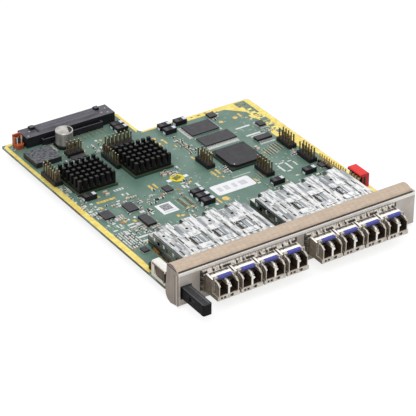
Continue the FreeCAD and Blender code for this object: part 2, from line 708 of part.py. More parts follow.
def well(x):
    """Return the hollow in a nose's top, between its shoulders."""
    left, right = x - MODULE_W / 2 + WELL_LEFT, x + MODULE_W / 2 - WELL_RIGHT
    return block(left, right, -WELL_FRONT, 0, CAGE_H - WELL_FLOOR, NOSE_TOP_BACK + 1)


def lip_marks(x):
    """Return the small recesses in the lip under the ports."""
    z = (PORT_FLOOR + CAGE_T - LIP_HOLE_H) / 2
    y = -NOSE_FRONT - 1 + (1 + LIP_HOLE_D) / 2
    return [block_at(x + offset, y, z, width, 1 + LIP_HOLE_D, LIP_HOLE_H) for offset, width in LIP_HOLES]


def pivot_prism(x_low, x_high, radius):
    """Return a prism along the bails' pivot axis, with its corners on a radius."""
    outline = []
    for index in range(PIVOT_SIDES):
        angle = (index + 0.5) * 2 * math.pi / PIVOT_SIDES
        outline.append((BAIL_PIVOT_Y + radius * math.cos(angle), BAIL_PIVOT_Z + radius * math.sin(angle)))
    return prism(outline, x_low, x_high)


def nose(x):
    """Return a module's nose: profiled body with two ports, latch slots and side recesses."""
    outline = [(-NOSE_BACK, CAGE_T), (-NOSE_BACK, NOSE_TOP_BACK), (-NOSE_SLOPE_Y, NOSE_TOP_FRONT),
               (-NOSE_FRONT, NOSE_FACE_TOP), (-NOSE_FRONT, CAGE_T)]
    body = prism(outline, x - MODULE_W / 2, x + MODULE_W / 2)
    tools = lip_marks(x) + [well(x)]
    for side in (-1, 1):
        tools.append(arm_recess(x, side))
        tools.append(port(x + side * (PORT_RIB + PORT_W) / 2))
        wall = x + side * (MODULE_W / 2 - NOSE_WALL)
        bore_r = (BAIL_PIN_R + BAIL_PIN_FIT) / math.cos(math.pi / PIVOT_SIDES)
        tools.append(pivot_prism(*sorted((wall - side, wall + side * 2 * NOSE_WALL)), bore_r))
    return body.cut(tools)


def module(x):
    """Optical module: nose, body inside the cage and edge board at the rear."""
    body = block(x - MODULE_W / 2, x + MODULE_W / 2, -NOSE_BACK, MODULE_REAR, CAGE_T, CAGE_T + MODULE_H)
    paddle = block_at(x, MODULE_REAR + PADDLE_L / 2, CAGE_T + PADDLE_Z - PADDLE_T / 2, PADDLE_W,
                      PADDLE_L, PADDLE_T)
    return fuse(body, nose(x), paddle)


def bail_arm(x_low, x_high):
    """Return one arm: a bar from the pivot to the cross wire with pointed ends."""
    run_y, run_z = BAIL_BAR_Y - BAIL_PIVOT_Y, BAIL_BAR_Z - BAIL_PIVOT_Z
    length = math.hypot(run_y, run_z)
    along = (run_y / length, run_z / length)
    half = BAIL_ARM_W / 2
    outline = []
    for reach, offset in ((-half, 0.4), (0, 1), (length, 1), (length + half, 0.4),
                          (length + half, -0.4), (length, -1), (0, -1), (-half, -0.4)):
        y = BAIL_PIVOT_Y + along[0] * reach + along[1] * offset * half
        z = BAIL_PIVOT_Z + along[1] * reach - along[0] * offset * half
        outline.append((y, z))
    return prism(outline, x_low, x_high)


def bail(x):
    """Bail: two arms with pivot pins, a cross wire and a moulded grip."""
    inner = MODULE_W / 2 - RECESS + BAIL_SIDE_CLEARANCE
    outer = inner + BAIL_ARM_T
    low = BAIL_BAR_Z - BAIL_GRIP_H / 2
    grip = block_at(x, BAIL_BAR_Y, low, MODULE_W - 2 * BAIL_GRIP_SIDE, BAIL_GRIP_L, BAIL_GRIP_H)
    rims = []
    for side in (-1, 1):
        for height in (low, low + BAIL_GRIP_H):
            rims += edges_near(grip, (x, BAIL_BAR_Y + side * BAIL_GRIP_L / 2, height))
    grip = grip.makeChamfer(BAIL_GRIP_CHAMFER, rims)
    pieces = [block_at(x, BAIL_BAR_Y, BAIL_BAR_Z - BAIL_CROSS / 2, 2 * outer, BAIL_CROSS, BAIL_CROSS)]
    reach = outer - RECESS - BAIL_SIDE_CLEARANCE
    for side in (-1, 1):
        pieces.append(bail_arm(*sorted((x + side * inner, x + side * outer))))
        pieces.append(pivot_prism(*sorted((x + side * reach, x + side * outer)), BAIL_PIN_R))
    return fuse(grip, *pieces)


def host_connector(x):
    """Receptacle inside a bay that takes the module's edge board."""
    y = CAGE_REAR - CAGE_T - HOST_GAP - HOST_L / 2
    body = block_at(x, y, CAGE_T, HOST_W, HOST_L, HOST_H)
    front = y - HOST_L / 2
    fit = HOST_FIT
    low = CAGE_T + PADDLE_Z - PADDLE_T / 2 - fit
    slot = block(x - PADDLE_W / 2 - fit, x + PADDLE_W / 2 + fit, front - 1, front + HOST_SLOT_L, low,
                 low + PADDLE_T + 2 * fit)
    return body.cut(slot)


def pull_handle():
    """Pull handle: rounded grip with a recess, and a stem that enters the latch bracket."""
    left, right = handle_span()
    grip = block(left, right, -HANDLE_REACH, PANEL_T, HANDLE_Z, HANDLE_Z + HANDLE_H)
    ends = edges_near(grip, (left, -HANDLE_REACH, None))
    ends += edges_near(grip, (right, -HANDLE_REACH, None))
    grip = grip.makeFillet(HANDLE_ROUND, ends)
    middle = HANDLE_Z + HANDLE_H / 2
    rear = -HANDLE_SLOT_REAR
    grip = grip.cut(block(left - 1, left + HANDLE_SLOT_D, rear - HANDLE_SLOT_L, rear,
                          middle - HANDLE_SLOT_H / 2, middle + HANDLE_SLOT_H / 2))
    stem = block_at(rod_start()[0], STEM_REAR / 2, STEM_Z, STEM_T, STEM_REAR, STEM_H)
    handle = fuse(grip, stem)
    return handle.cut(rod(rod_start(), (0, 1, 0), ROD_R, ROD_EMBED + 1))


def rod_start():
    """Return the point inside the stem where the latch rod starts."""
    left, right = handle_span()
    return left + STEM_INSET + STEM_T / 2, STEM_REAR - ROD_EMBED, STEM_Z + STEM_H / 2


def latch_rod():
    """Steel rod that carries the handle's pull to the latch."""
    start = rod_start()
    return rod(start, (0, 1, 0), ROD_R, ROD_REAR - start[1])


def latch_bracket():
    """Bent bracket over the latch, open at the front, with a window and a screwed foot."""
    left = PANEL_LEFT + BRACKET_T / 2
    right = left + BRACKET_W
    front, rear = BRACKET_FRONT, BRACKET_REAR
    middle = (front + rear) / 2
    outer = block(left, right, front, rear, 0, BRACKET_H)
    bends = [edge for x in (left, right) for edge in edges_near(outer, (x, middle, BRACKET_H))]
    outer = outer.makeFillet(BRACKET_BEND_R, bends)
    inner_left, inner_right, roof = left + BRACKET_T, right - BRACKET_T, BRACKET_H - BRACKET_T
    hollow = block(inner_left, inner_right, front - 1, rear - BRACKET_T, -1, roof)
    middle = (front - 1 + rear - BRACKET_T) / 2
    bends = [edge for x in (inner_left, inner_right) for edge in edges_near(hollow, (x, middle, roof))]
    hollow = hollow.makeFillet(BRACKET_BEND_R - BRACKET_T, bends)
    margin = BRACKET_WINDOW_MARGIN
    window = block(left - 1, inner_left + 0.1, front - 1, rear - margin - 1, margin, BRACKET_H - margin)
    foot_x, foot_y = bracket_foot_centre()
    foot = block(right - BRACKET_T, foot_x + BRACKET_FOOT_W / 2, foot_y - BRACKET_FOOT_L / 2,
                 foot_y + BRACKET_FOOT_L / 2, 0, SCREW_LENGTH - BOARD_T)
    shell = fuse(outer.cut(hollow).cut(window), foot)
    return shell.cut(rod((foot_x, foot_y, -1), (0, 0, 1), SCREW_R + PILOT_FIT, BRACKET_H))


def handle_switch():
    """Small switch behind the bracket that senses the handle."""
    x = PANEL_LEFT + BRACKET_W / 2 + SWITCH_SHIFT
    y = BRACKET_REAR + SWITCH_GAP + SWITCH_L / 2
    return block_at(x, y, 0, SWITCH_W, SWITCH_L, SWITCH_H)


def panel_block():
    """Threaded block that joins the panel's right end to the board."""
    x, y = block_centre()
    body = block_at(x, y, 0, BLOCK_W, BLOCK_L, BLOCK_H)
    ear = block(x - BLOCK_W / 2, x + BLOCK_W / 2, PANEL_T, y, 0, BLOCK_H)
    return fuse(body, ear).cut(rod((x, y, -1), (0, 0, 1), SCREW_R + PILOT_FIT, SCREW_LENGTH))


def hexagon(radius):
    """Return the corners of a hexagon about the origin."""
    turns = [index * math.pi / 3 for index in range(6)]
    return [(radius * math.cos(turn), radius * math.sin(turn)) for turn in turns]


def board_screw(x, y):
    """Hexagon-head screw from the solder side through the board."""
    points = [Vector(x, y, -BOARD_T - SCREW_HEAD_H) + Vector(*place, 0) for place in hexagon(SCREW_HEAD_R)]
    head = Part.Face(Part.makePolygon(points + points[:1])).extrude(Vector(0, 0, SCREW_HEAD_H))
    shank = rod((x, y, -BOARD_T), (0, 0, 1), SCREW_R, SCREW_LENGTH - SCREW_TIP_GAP)
    return fuse(head, shank)


def connector_lug(x):
    """Return one guide lug at the connector's rear, sloped towards the mating face."""
    front = CONN_REAR - CONN_LUG_L
    outline = [(front, 0), (front, CONN_LUG_H), (CONN_REAR - CONN_LUG_L / 3, CONN_LUG_H),
               (CONN_REAR, CONN_BAR_H - CONN_BEVEL), (CONN_REAR, 0)]
    return prism(outline, x, x + CONN_LUG_W)


def rear_connector():
    """Moulded plug connector: body with a trough, end blocks, upper bar, lugs, contact blade."""
    left, right = connector_span()
    inner_left, inner_right = left + CONN_END_W, right - CONN_END_W
    lower = block(inner_left, inner_right, CONN_FRONT, CONN_REAR, 0, CONN_STEP_H)
    ends = block(left, right, CONN_FRONT + CONN_END_SETBACK, CONN_REAR, 0, CONN_H)
    front = CONN_FRONT + CONN_BAR_SETBACK
    outline = [(front, 0), (front, CONN_BAR_H - CONN_BEVEL), (front + CONN_BEVEL, CONN_BAR_H),
               (CONN_REAR - CONN_BEVEL, CONN_BAR_H), (CONN_REAR, CONN_BAR_H - CONN_BEVEL), (CONN_REAR, 0)]
    bar = prism(outline, inner_left, inner_right)
    blade = block(left, right, CONN_REAR - CONN_BLADE_L + CONN_BLADE_FIT, CONN_REAR, -BOARD_T, 0)
    wall = CONN_TROUGH_WALL
    trough = block(inner_left + wall, inner_right - wall, CONN_FRONT + wall, front, CONN_TROUGH_FLOOR,
                   CONN_STEP_H + 1)
    lugs = [connector_lug(x) for x in (left + CONN_LUG_INSET, right - CONN_LUG_INSET - CONN_LUG_W)]
    return fuse(lower.cut(trough), ends, bar, blade, *lugs)


def contact_pads():
    """Return the gold contacts under the connector's blade."""
    left, right = connector_span()
    pitch = (right - left - 2 * CONTACT_MARGIN) / CONTACTS
    length = CONN_BLADE_L - 1
    y = CONN_REAR - CONN_BLADE_FIT - length / 2
    width = pitch * CONTACT_FILL
    centres = [left + CONTACT_MARGIN + (index + 0.5) * pitch for index in range(CONTACTS)]
    return [block_at(x, y, -BOARD_T - CONTACT_T, width, length, CONTACT_T) for x in centres]


def solder_tails():
    """Return the tails in front of the connector, from its right end block to the capacitor."""
    left, right = connector_span()
    first = right - CONN_END_W - TAIL_PITCH / 2
    limit = CAN_X + CAN_BASE / 2 + TAIL_GAP + TAIL_W / 2
    count = int((first - limit) / TAIL_PITCH) + 1
    y = CONN_FRONT - TAIL_L / 2
    return [block_at(first - index * TAIL_PITCH, y, 0, TAIL_W, TAIL_L, TAIL_T) for index in range(count)]


def rear_contacts():
    """Gold contact pads under the blade, and the solder tails."""
    return contact_pads() + solder_tails()


def fuse_centre():
    """Return the fuse holder's centre."""
    return from_left(FUSE_X), CONN_FRONT + FUSE_SETBACK


def fuse_holder():
    """Holder with a rounded foot, and at the rear tall walls on three sides of the fuse link."""
    x, y = fuse_centre()
    left, right = x - FUSE_W / 2, x + FUSE_W / 2
    front, rear = y - FUSE_L / 2, y + FUSE_L / 2
    foot = block(left, right, front, rear, 0, FUSE_FOOT_H)
    corners = edges_near(foot, (left, front, None)) + edges_near(foot, (right, front, None))
    foot = foot.makeFillet(FUSE_FOOT_R, corners)
    walls = [block(left, right, rear - FUSE_WALL, rear, 0, FUSE_H)]
    for side in (left, right - FUSE_WALL):
        walls.append(block(side, side + FUSE_WALL, rear - FUSE_CLAW_L, rear, 0, FUSE_H - FUSE_CLAW_STEP))
    return fuse(foot, *walls)


def fuse_link():
    """Flat fuse blade upright in its holder."""
    x, y = fuse_centre()
    rear = y + FUSE_L / 2 - (FUSE_WALL + FUSE_CLAW_L) / 2
    return block_at(x, rear, FUSE_FOOT_H, LINK_W, LINK_T, FUSE_H - FUSE_FOOT_H - LINK_SINK)


def capacitor_can():
    """Rolled can of the electrolytic capacitor with a bevelled rim."""
    can = rod((CAN_X, CAN_Y, CAN_BASE_H), (0, 0, 1), CAN_R, CAN_H - CAN_BASE_H)
    return can.makeChamfer(CAN_BEVEL, edges_near(can, (CAN_X, CAN_Y, CAN_H)))


def capacitor_base():
    """Moulded seat of the capacitor with two chamfered corners."""
    base = block_at(CAN_X, CAN_Y, 0, CAN_BASE, CAN_BASE, CAN_BASE_H)
    half = CAN_BASE / 2
    corners = edges_near(base, (CAN_X - half, CAN_Y + half, None))
    corners += edges_near(base, (CAN_X - half, CAN_Y - half, None))
    return base.makeChamfer(CAN_BASE / 6, corners)


def power_module():
    """Encapsulated power converter."""
    return block_at(from_left(POWER_X), CONN_FRONT - POWER_AHEAD, 0, POWER_W, POWER_L, POWER_H)


def heat_sink(x):
    """Pin-fin heat sink on top of its chip."""
    base = block_at(x, SINK_Y, CHIP_H, SINK_SIZE, SINK_SIZE, SINK_BASE)
    foot = CHIP_H + SINK_BASE
    reach = (SINK_SIZE - SINK_PIN) / 2
    pins = []
    for row in range(SINK_ROWS):
        for column in range(SINK_COLUMNS):
            pin_x = x - reach + column * 2 * reach / (SINK_COLUMNS - 1)
            pin_y = SINK_Y - reach + row * 2 * reach / (SINK_ROWS - 1)
            pins.append(block_at(pin_x, pin_y, foot, SINK_PIN, SINK_PIN, SINK_H - SINK_BASE))
    return fuse(base, *pins)


def switch_chip(x):
    """Ball grid package under a heat sink."""
    return block_at(x, SINK_Y, 0, CHIP_SIZE, CHIP_SIZE, CHIP_H)


def processor():
    """Ball grid package with a moulded cap."""
    x = from_right(CPU_X)
    substrate = block_at(x, CPU_Y, 0, CPU_W, CPU_L, CPU_H)
    cap = block_at(x, CPU_Y, CPU_H, CPU_W - 2 * CPU_MARGIN, CPU_L - 2 * CPU_MARGIN, CPU_CAP_H)
    return fuse(substrate, cap)


def leaded_chip(x, y, width, length, height, along_x):
    """Moulded chip with gull-wing leads on two sides; along_x sets leads on the Y sides."""
    body = block_at(x, y, LEAD_T, width, length, height - LEAD_T)
    span = width if along_x else length
    count = int((span - LEAD_W) / LEAD_PITCH)
    leads = []
    for index in range(count):
        offset = (index - (count - 1) / 2) * LEAD_PITCH
        if along_x:
            leads.append(block_at(x + offset, y, 0, LEAD_W, length + 2 * LEAD_REACH, 2 * LEAD_T))
        else:
            leads.append(block_at(x, y + offset, 0, width + 2 * LEAD_REACH, LEAD_W, 2 * LEAD_T))
    return fuse(body, *leads)


def memory_chips():
    """Two memory chips, one with leads at its sides and one at front and rear."""
    first = leaded_chip(from_right(MEM_A_X), MEM_A_Y, MEM_A_W, MEM_A_L, MEM_H, False)
    second = leaded_chip(from_right(MEM_B_X), MEM_B_Y, MEM_B_W, MEM_B_L, MEM_H, True)
    return [first, second]


def small_chips():
    """Small outline and flat packages."""
    places = front_places(LEFT_PACKAGES, from_left) + front_places(RIGHT_PACKAGES, from_right)
    flats = [block_at(x, y, 0, width, length, height) for x, y, width, length, height in places]
    sides, ends = front_places((SO8, SO16), from_right)
    return flats + [leaded_chip(*sides, False), leaded_chip(*ends, True)]


def tantalum(x, y):
    """Moulded chip capacitor with its long side along X."""
    return block_at(x, y, 0, TANTALUM_W, TANTALUM_L, TANTALUM_H)


def tantalum_capacitors():
    """All moulded chip capacitors of the board."""
    places = front_places(LEFT_TANTALUMS, from_left) + front_places(RIGHT_TANTALUMS, from_right)
    left, right = connector_span()
    places += [(right - CONN_TANTALUM_X, CONN_FRONT - distance) for distance in CONN_TANTALUMS]
    return [tantalum(x, y) for x, y in places]


def header_places():
    """Return centre x, centre y, pins along X and pins along Y of each pin header."""
    single_x = SINK_2_X - CHIP_SIZE / 2 - HEADER_CHIP_GAP - HEADER_PITCH / 2
    single = (single_x, behind_cages(SINGLE_HEADER_Y), 1, SINGLE_HEADER_PINS)
    return front_places(LEFT_HEADERS, from_left) + front_places(RIGHT_HEADERS, from_right) + [single]


def header_base(x, y, columns, rows):
    """Moulded strip that carries a header's pins."""
    return block_at(x, y, 0, columns * HEADER_PITCH, rows * HEADER_PITCH, HEADER_BASE_H)


def header_grid(x, y, columns, rows):
    """Return the centres of a header's pins."""
    pitch = HEADER_PITCH
    grid = []
    for row in range(rows):
        for column in range(columns):
            grid.append((x + (column - (columns - 1) / 2) * pitch, y + (row - (rows - 1) / 2) * pitch))
    return grid


def header_pins():
    """Square pins of every header, from the top of its base."""
    length = HEADER_PIN_H - HEADER_BASE_H
    pins = []
    for place in header_places():
        for x, y in header_grid(*place):
            pins.append(block_at(x, y, HEADER_BASE_H, HEADER_PIN, HEADER_PIN, length))
    return pins


def dip_span():
    """Return the switch block's outer face, and its front and rear ends."""
    rear = DIP_FRONT + DIP_POLES * DIP_PITCH + 2 * DIP_MARGIN
    return from_right(DIP_INSET), DIP_FRONT, rear


def dip_body():
    """Right-angle switch block: bevelled roof over the pins, and a slot for each slider."""
    outer, front, rear = dip_span()
    body = block(outer - DIP_BODY_W, outer, front, rear, 0, DIP_H)
    roof = block(outer - DIP_W, outer, front, rear, DIP_H - DIP_ROOF_T, DIP_H)
    shell = fuse(body, roof)
    middle = (front + rear) / 2
    rims = [edge for x in (outer, outer - DIP_W) for edge in edges_near(shell, (x, middle, DIP_H))]
    shell = shell.makeChamfer(DIP_BEVEL, rims)
    return shell.cut([slider_slot(y) for y in slider_rows()])


def slider_rows():
    """Return the Y of each slider."""
    outer, front, rear = dip_span()
    middle = (front + rear) / 2
    return [middle + (index - (DIP_POLES - 1) / 2) * DIP_PITCH for index in range(DIP_POLES)]


def slider_low():
    """Return the underside of a slider at rest."""
    return (DIP_H - SLIDER_H - SLIDER_TRAVEL) / 2


def slider_slot(y):
    """Return the space in which a slider runs."""
    outer, front, rear = dip_span()
    fit = SLIDER_FIT
    low = slider_low() - fit
    high = slider_low() + SLIDER_H + SLIDER_TRAVEL + fit
    half = SLIDER_W / 2 + fit
    return block(outer - SLIDER_D - fit / 2, outer + 1, y - half, y + half, low, high)


def dip_slider(y):
    """Slider of one pole."""
    outer, front, rear = dip_span()
    proud = DIP_INSET / 2
    return block(outer - SLIDER_D, outer + proud, y - SLIDER_W / 2, y + SLIDER_W / 2, slider_low(),
                 slider_low() + SLIDER_H)


def dip_pins():
    """Pins that leave the switch block under its roof and bend down to the board."""
    outer, front, rear = dip_span()
    wall = outer - DIP_BODY_W
    half = DIP_PIN / 2
    pins = []
    for y in slider_rows():
        for level, reach in DIP_PIN_ROWS:
            arm = block(wall - reach, wall, y - half, y + half, level, level + DIP_PIN)
            leg = block(wall - reach - half, wall - reach + half, y - half, y + half, 0, level + DIP_PIN)
            pins.append(fuse(arm, leg))
    return pins


def ground_strip():
    """Spring strip on the board beside the left cage."""
    right = CAGE_LEFT_X - CAGE_W / 2 - STRIP_GAP
    return block(right - STRIP_T, right, STRIP_FRONT, STRIP_FRONT + STRIP_L, 0, STRIP_H)


def main():
    """Build every sub-part and write it to its own file."""
    os.makedirs("parts", exist_ok=True)
    save("board", board())
    save("front_panel", front_panel())
    save("gasket_foam", gasket_foam())
    save("gasket_fabric", gasket_fabric())
    bays = []
    for name, cage_x in (("left", CAGE_LEFT_X), ("right", CAGE_RIGHT_X)):
        save("cage_" + name, cage(cage_x))
        save("spring_collar_" + name, collar(cage_x))
        bays += bay_centres(cage_x)
    for number, x in enumerate(bays, start=1):
        save("module_%d" % number, module(x))
        save("bail_%d" % number, bail(x))
    save("host_connectors", *[host_connector(x) for x in bays])
    save("pull_handle", pull_handle())
    save("latch_rod", latch_rod())
    save("latch_bracket", latch_bracket())
    save("handle_switch", handle_switch())
    save("panel_block", panel_block())
    save("board_screws", *[board_screw(x, y) for x, y in screw_places()])
    save("rear_connector", rear_connector())
    save("rear_contacts", *rear_contacts())
    save("fuse_holder", fuse_holder())
    save("fuse_link", fuse_link())
    save("capacitor_can", capacitor_can())
    save("capacitor_base", capacitor_base())
    save("power_module", power_module())
    for number, x in enumerate((SINK_1_X, SINK_2_X), start=1):
        save("heat_sink_%d" % number, heat_sink(x))
        save("switch_chip_%d" % number, switch_chip(x))
    save("processor", processor())
    save("memory_chips", *memory_chips())
    save("small_chips", *small_chips())
    save("tantalum_capacitors", *tantalum_capacitors())
    save("header_bases", *[header_base(*place) for place in header_places()])
    save("header_pins", *header_pins())
    save("dip_body", dip_body())
    save("dip_pins", *dip_pins())
    for number, y in enumerate(slider_rows(), start=1):
        save("dip_slider_%d" % number, dip_slider(y))
    save("ground_strip", ground_strip())


main()
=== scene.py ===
"""Looks of a double-width switch line card: finishes, board dressing, cage and module detail.

Sizes and places are in millimetres, except for the lamps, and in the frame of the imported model:
+X along the front panel, +Y towards the rear connector, +Z out of the component side of the board.
"""

import logging
import math
import random
from dataclasses import dataclass
from enum import Enum

import bmesh
import bpy
from mathutils import Matrix, Vector


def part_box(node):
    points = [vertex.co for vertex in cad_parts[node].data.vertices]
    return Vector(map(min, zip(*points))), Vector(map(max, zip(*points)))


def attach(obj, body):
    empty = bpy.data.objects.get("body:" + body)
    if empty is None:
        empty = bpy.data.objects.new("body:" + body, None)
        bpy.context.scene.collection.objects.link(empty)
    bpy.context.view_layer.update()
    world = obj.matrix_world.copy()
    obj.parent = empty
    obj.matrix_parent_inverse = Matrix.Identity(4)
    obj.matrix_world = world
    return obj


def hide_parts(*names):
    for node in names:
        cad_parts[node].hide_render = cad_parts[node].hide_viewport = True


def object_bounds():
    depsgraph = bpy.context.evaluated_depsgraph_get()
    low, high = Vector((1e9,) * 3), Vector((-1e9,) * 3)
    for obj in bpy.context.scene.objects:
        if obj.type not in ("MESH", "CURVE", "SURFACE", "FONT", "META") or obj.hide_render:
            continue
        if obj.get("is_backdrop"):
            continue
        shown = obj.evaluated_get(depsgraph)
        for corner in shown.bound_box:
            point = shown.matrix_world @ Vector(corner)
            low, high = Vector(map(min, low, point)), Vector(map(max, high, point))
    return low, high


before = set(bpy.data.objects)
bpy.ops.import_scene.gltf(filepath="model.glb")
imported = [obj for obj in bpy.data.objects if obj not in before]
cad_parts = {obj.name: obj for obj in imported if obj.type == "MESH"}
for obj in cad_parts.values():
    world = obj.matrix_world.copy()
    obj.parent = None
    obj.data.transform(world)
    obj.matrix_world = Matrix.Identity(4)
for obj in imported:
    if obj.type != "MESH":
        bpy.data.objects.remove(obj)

# One millimetre in metres.
MM = 0.001
# Cosine above which a face counts as looking up or to the left.
FACING = 0.7
# Number of optical modules, each with its bail.
MODULES = 8
LOG = logging.getLogger("line_card")
Point = tuple[float, float, float]
Spot = tuple[float, float]


class Body(Enum):
    """Moving bodies that pieces ride on."""

    CARD = "card"
    HANDLE = "pull_handle"


class Axis(Enum):
    """Directions along which a section is drawn out."""

    X = 0
    Y = 1
    Z = 2


def linear(code: str) -> tuple[float, float, float, float]:
    """Turn an sRGB hex colour to linear RGBA.

    Args:
        code: Six hex digits after a hash.

    Returns:
        Red, green, blue and full alpha.
    """
    values = [int(code[place:place + 2], 16) / 255 for place in (1, 3, 5)]
    red, green, blue = [v / 12.92 if v <= 0.04045 else ((v + 0.055) / 1.055) ** 2.4 for v in values]
    return red, green, blue, 1.0


def add_node(tree: bpy.types.NodeTree, kind: str, settings: dict | None = None,
             inputs: dict | None = None) -> bpy.types.Node:
    """Add a shader node with its settings, values and links.

    Args:
        tree: Node tree that gets the node.
        kind: Blender's name of the node type.
        settings: Properties of the node.
        inputs: Values or output sockets by input name or number.

    Returns:
        The new node.
    """
    node = tree.nodes.new(kind)
    for key, value in (settings or {}).items():
        setattr(node, key, value)
    for key, value in (inputs or {}).items():
        if isinstance(value, bpy.types.NodeSocket):
            tree.links.new(value, node.inputs[key])
        else:
            node.inputs[key].default_value = value
    return node


def add_math(tree: bpy.types.NodeTree, operation: str, first: object, second: object) -> bpy.types.NodeSocket:
    """Add a math node over two values or sockets and return its result."""
    return add_node(tree, "ShaderNodeMath", {"operation": operation}, {0: first, 1: second}).outputs[0]


def add_range(tree: bpy.types.NodeTree, value: bpy.types.NodeSocket, low: float, high: float,
              at_low: float = 0.0, at_high: float = 1.0) -> bpy.types.NodeSocket:
    """Map a value from one range to another.

    Args:
        tree: Node tree that gets the node.
        value: Socket of the value.
        low: Value that gives at_low.
        high: Value that gives at_high.
        at_low: Result at the low value.
        at_high: Result at the high value.

    Returns:
        The result's socket.
    """
    inputs = {"Value": value, 1: low, 2: high, 3: at_low, 4: at_high}
    return add_node(tree, "ShaderNodeMapRange", None, inputs).outputs[0]


def add_noise(tree: bpy.types.NodeTree, place: bpy.types.NodeSocket, size_mm: float,
              detail: float) -> bpy.types.NodeSocket:
    """Add clouds of a size in millimetres and return their height."""
    inputs = {"Vector": place, "Scale": 1 / (size_mm * MM), "Detail": detail}
    return add_node(tree, "ShaderNodeTexNoise", None, inputs).outputs["Fac"]


def blend(tree: bpy.types.NodeTree, amount: bpy.types.NodeSocket, first: object,
          second: object) -> bpy.types.NodeSocket:
    """Mix two colours, given as hex codes or sockets.

    Args:
        tree: Node tree that gets the node.
        amount: Share of the second colour.
        first: Colour where the share is 0.
        second: Colour where the share is 1.

    Returns:
        The mixed colour's socket.
    """
    pair = [linear(colour) if isinstance(colour, str) else colour for colour in (first, second)]
    inputs = {0: amount, 6: pair[0], 7: pair[1]}
    return add_node(tree, "ShaderNodeMix", {"data_type": "RGBA"}, inputs).outputs[2]


def emptied_tree(owner: bpy.types.Material | bpy.types.World) -> bpy.types.NodeTree:
    """Empty the node tree of a material or world.

    Args:
        owner: The material or world.

    Returns:
        Its node tree.
    """
    owner.use_nodes = True
    owner.node_tree.nodes.clear()
    return owner.node_tree


@dataclass(frozen=True)
class Finish:
    """A surface whose colour is mottled with a second one, with uneven gloss and a fine relief."""

    name: str
    colour: str
    second: str
    roughness: float
    metallic: float = 0.0
    grain_mm: float = 2.0
    share: float = 0.5
    stretch: Point = (1.0, 1.0, 1.0)
    relief_mm: float = 0.6
    relief: float = 0.01
    spread: float = 0.08
    specular: float = 0.5
    sharp: tuple[float, float] = (0.35, 0.65)
    # Tones of faces that look up and of faces that look left: in most finishes, painted light on the tops and
    # painted shade on the left sides.
    top: tuple[str, str] | None = None
    left: tuple[str, str] | None = None

    def tones(self, tree: bpy.types.NodeTree, place: bpy.types.NodeSocket) -> bpy.types.NodeSocket:
        """Return the colour socket, with the faces that look up or left in their own tones: mostly painted
        light on faces that look up and painted shade on faces that look left.

        Args:
            tree: Node tree of the material.
            place: Object coordinates, stretched along the surface's working direction.

        Returns:
            The socket that carries the base colour.
        """
        amount = add_range(tree, add_noise(tree, place, self.grain_mm, 3.0), *self.sharp, 0.0, self.share)
        base = blend(tree, amount, self.colour, self.second)
        facing = add_node(tree, "ShaderNodeTexCoord").outputs["Normal"]
        turned = add_node(tree, "ShaderNodeSeparateXYZ", None, {"Vector": facing}).outputs
        # Painted light on faces that look up and painted shade on faces that look left, in most finishes.
        sides = ((self.left, turned[0], "LESS_THAN", -FACING), (self.top, turned[2], "GREATER_THAN", FACING))
        for pair, part, sense, limit in sides:
            if pair:
                base = blend(tree, add_math(tree, sense, part, limit), base, blend(tree, amount, *pair))
        return base

    def material(self) -> bpy.types.Material:
        """Build the material once.

        Returns:
            The material, the same one on every call.
        """
        found = bpy.data.materials.get(self.name)
        if found:
            return found
        made = bpy.data.materials.new(self.name)
        tree = emptied_tree(made)
        coords = add_node(tree, "ShaderNodeTexCoord").outputs["Object"]
        place = add_node(tree, "ShaderNodeMapping", None,
                         {"Vector": coords, "Scale": self.stretch}).outputs[0]
        colour = self.tones(tree, place)
        wear = add_noise(tree, place, self.grain_mm / 0.7, 4.0)
        gloss = add_range(tree, wear, 0.3, 0.7, max(self.roughness - self.spread, 0.03),
                          self.roughness + self.spread)
        grain = add_noise(tree, place, self.relief_mm, 2.0)
        bump = add_node(tree, "ShaderNodeBump", None,
                        {"Height": grain, "Strength": 1.0, "Distance": self.relief * MM})
        shader = add_node(tree, "ShaderNodeBsdfPrincipled", None,
                          {"Base Color": colour, "Metallic": self.metallic, "Roughness": gloss,
                           "Normal": bump.outputs[0], "Specular IOR Level": self.specular})
        add_node(tree, "ShaderNodeOutputMaterial", None, {"Surface": shader.outputs[0]})
        return made


@dataclass(frozen=True)
class MaskedLaminate(Finish):
    """Green solder mask over copper: pale tracks and vias show through the mask."""

    track: str = "#86a598"
    track_mm: float = 1.1
    zone_mm: float = 14.0
    via: str = "#b9c4a4"
    via_mm: float = 3.4

    def tones(self, tree: bpy.types.NodeTree, place: bpy.types.NodeSocket) -> bpy.types.NodeSocket:
        """Return the mask's colour with straight and slanted tracks and with vias.

        Args:
            tree: Node tree of the material.
            place: Stretched object coordinates.

        Returns:
            The socket that carries the base colour.
        """
        base = super().tones(tree, place)
        slanted = add_node(tree, "ShaderNodeMapping", None,
                           {"Vector": place, "Rotation": (0.0, 0.0, math.radians(45.0))}).outputs[0]
        shares = []
        for coords, scale in ((place, 1.0), (slanted, 0.8)):
            waves = add_node(tree, "ShaderNodeTexWave", {"bands_direction": "X"},
                             {"Vector": coords, "Scale": scale / (self.track_mm * MM) / 2.0})
            lines = add_range(tree, waves.outputs["Fac"], 0.7, 0.95)
            zone = add_range(tree, add_noise(tree, coords, self.zone_mm, 1.0), 0.52, 0.58, 0.0, 0.45)
            shares.append(add_math(tree, "MULTIPLY", lines, zone))
        traced = blend(tree, add_math(tree, "MAXIMUM", *shares), base, self.track)
        cells = add_node(tree, "ShaderNodeTexVoronoi", None,
                         {"Vector": place, "Scale": 1 / (self.via_mm * MM)})
        dots = add_range(tree, cells.outputs["Distance"], 0.07, 0.1, 0.8, 0.0)
        return blend(tree, dots, traced, self.via)


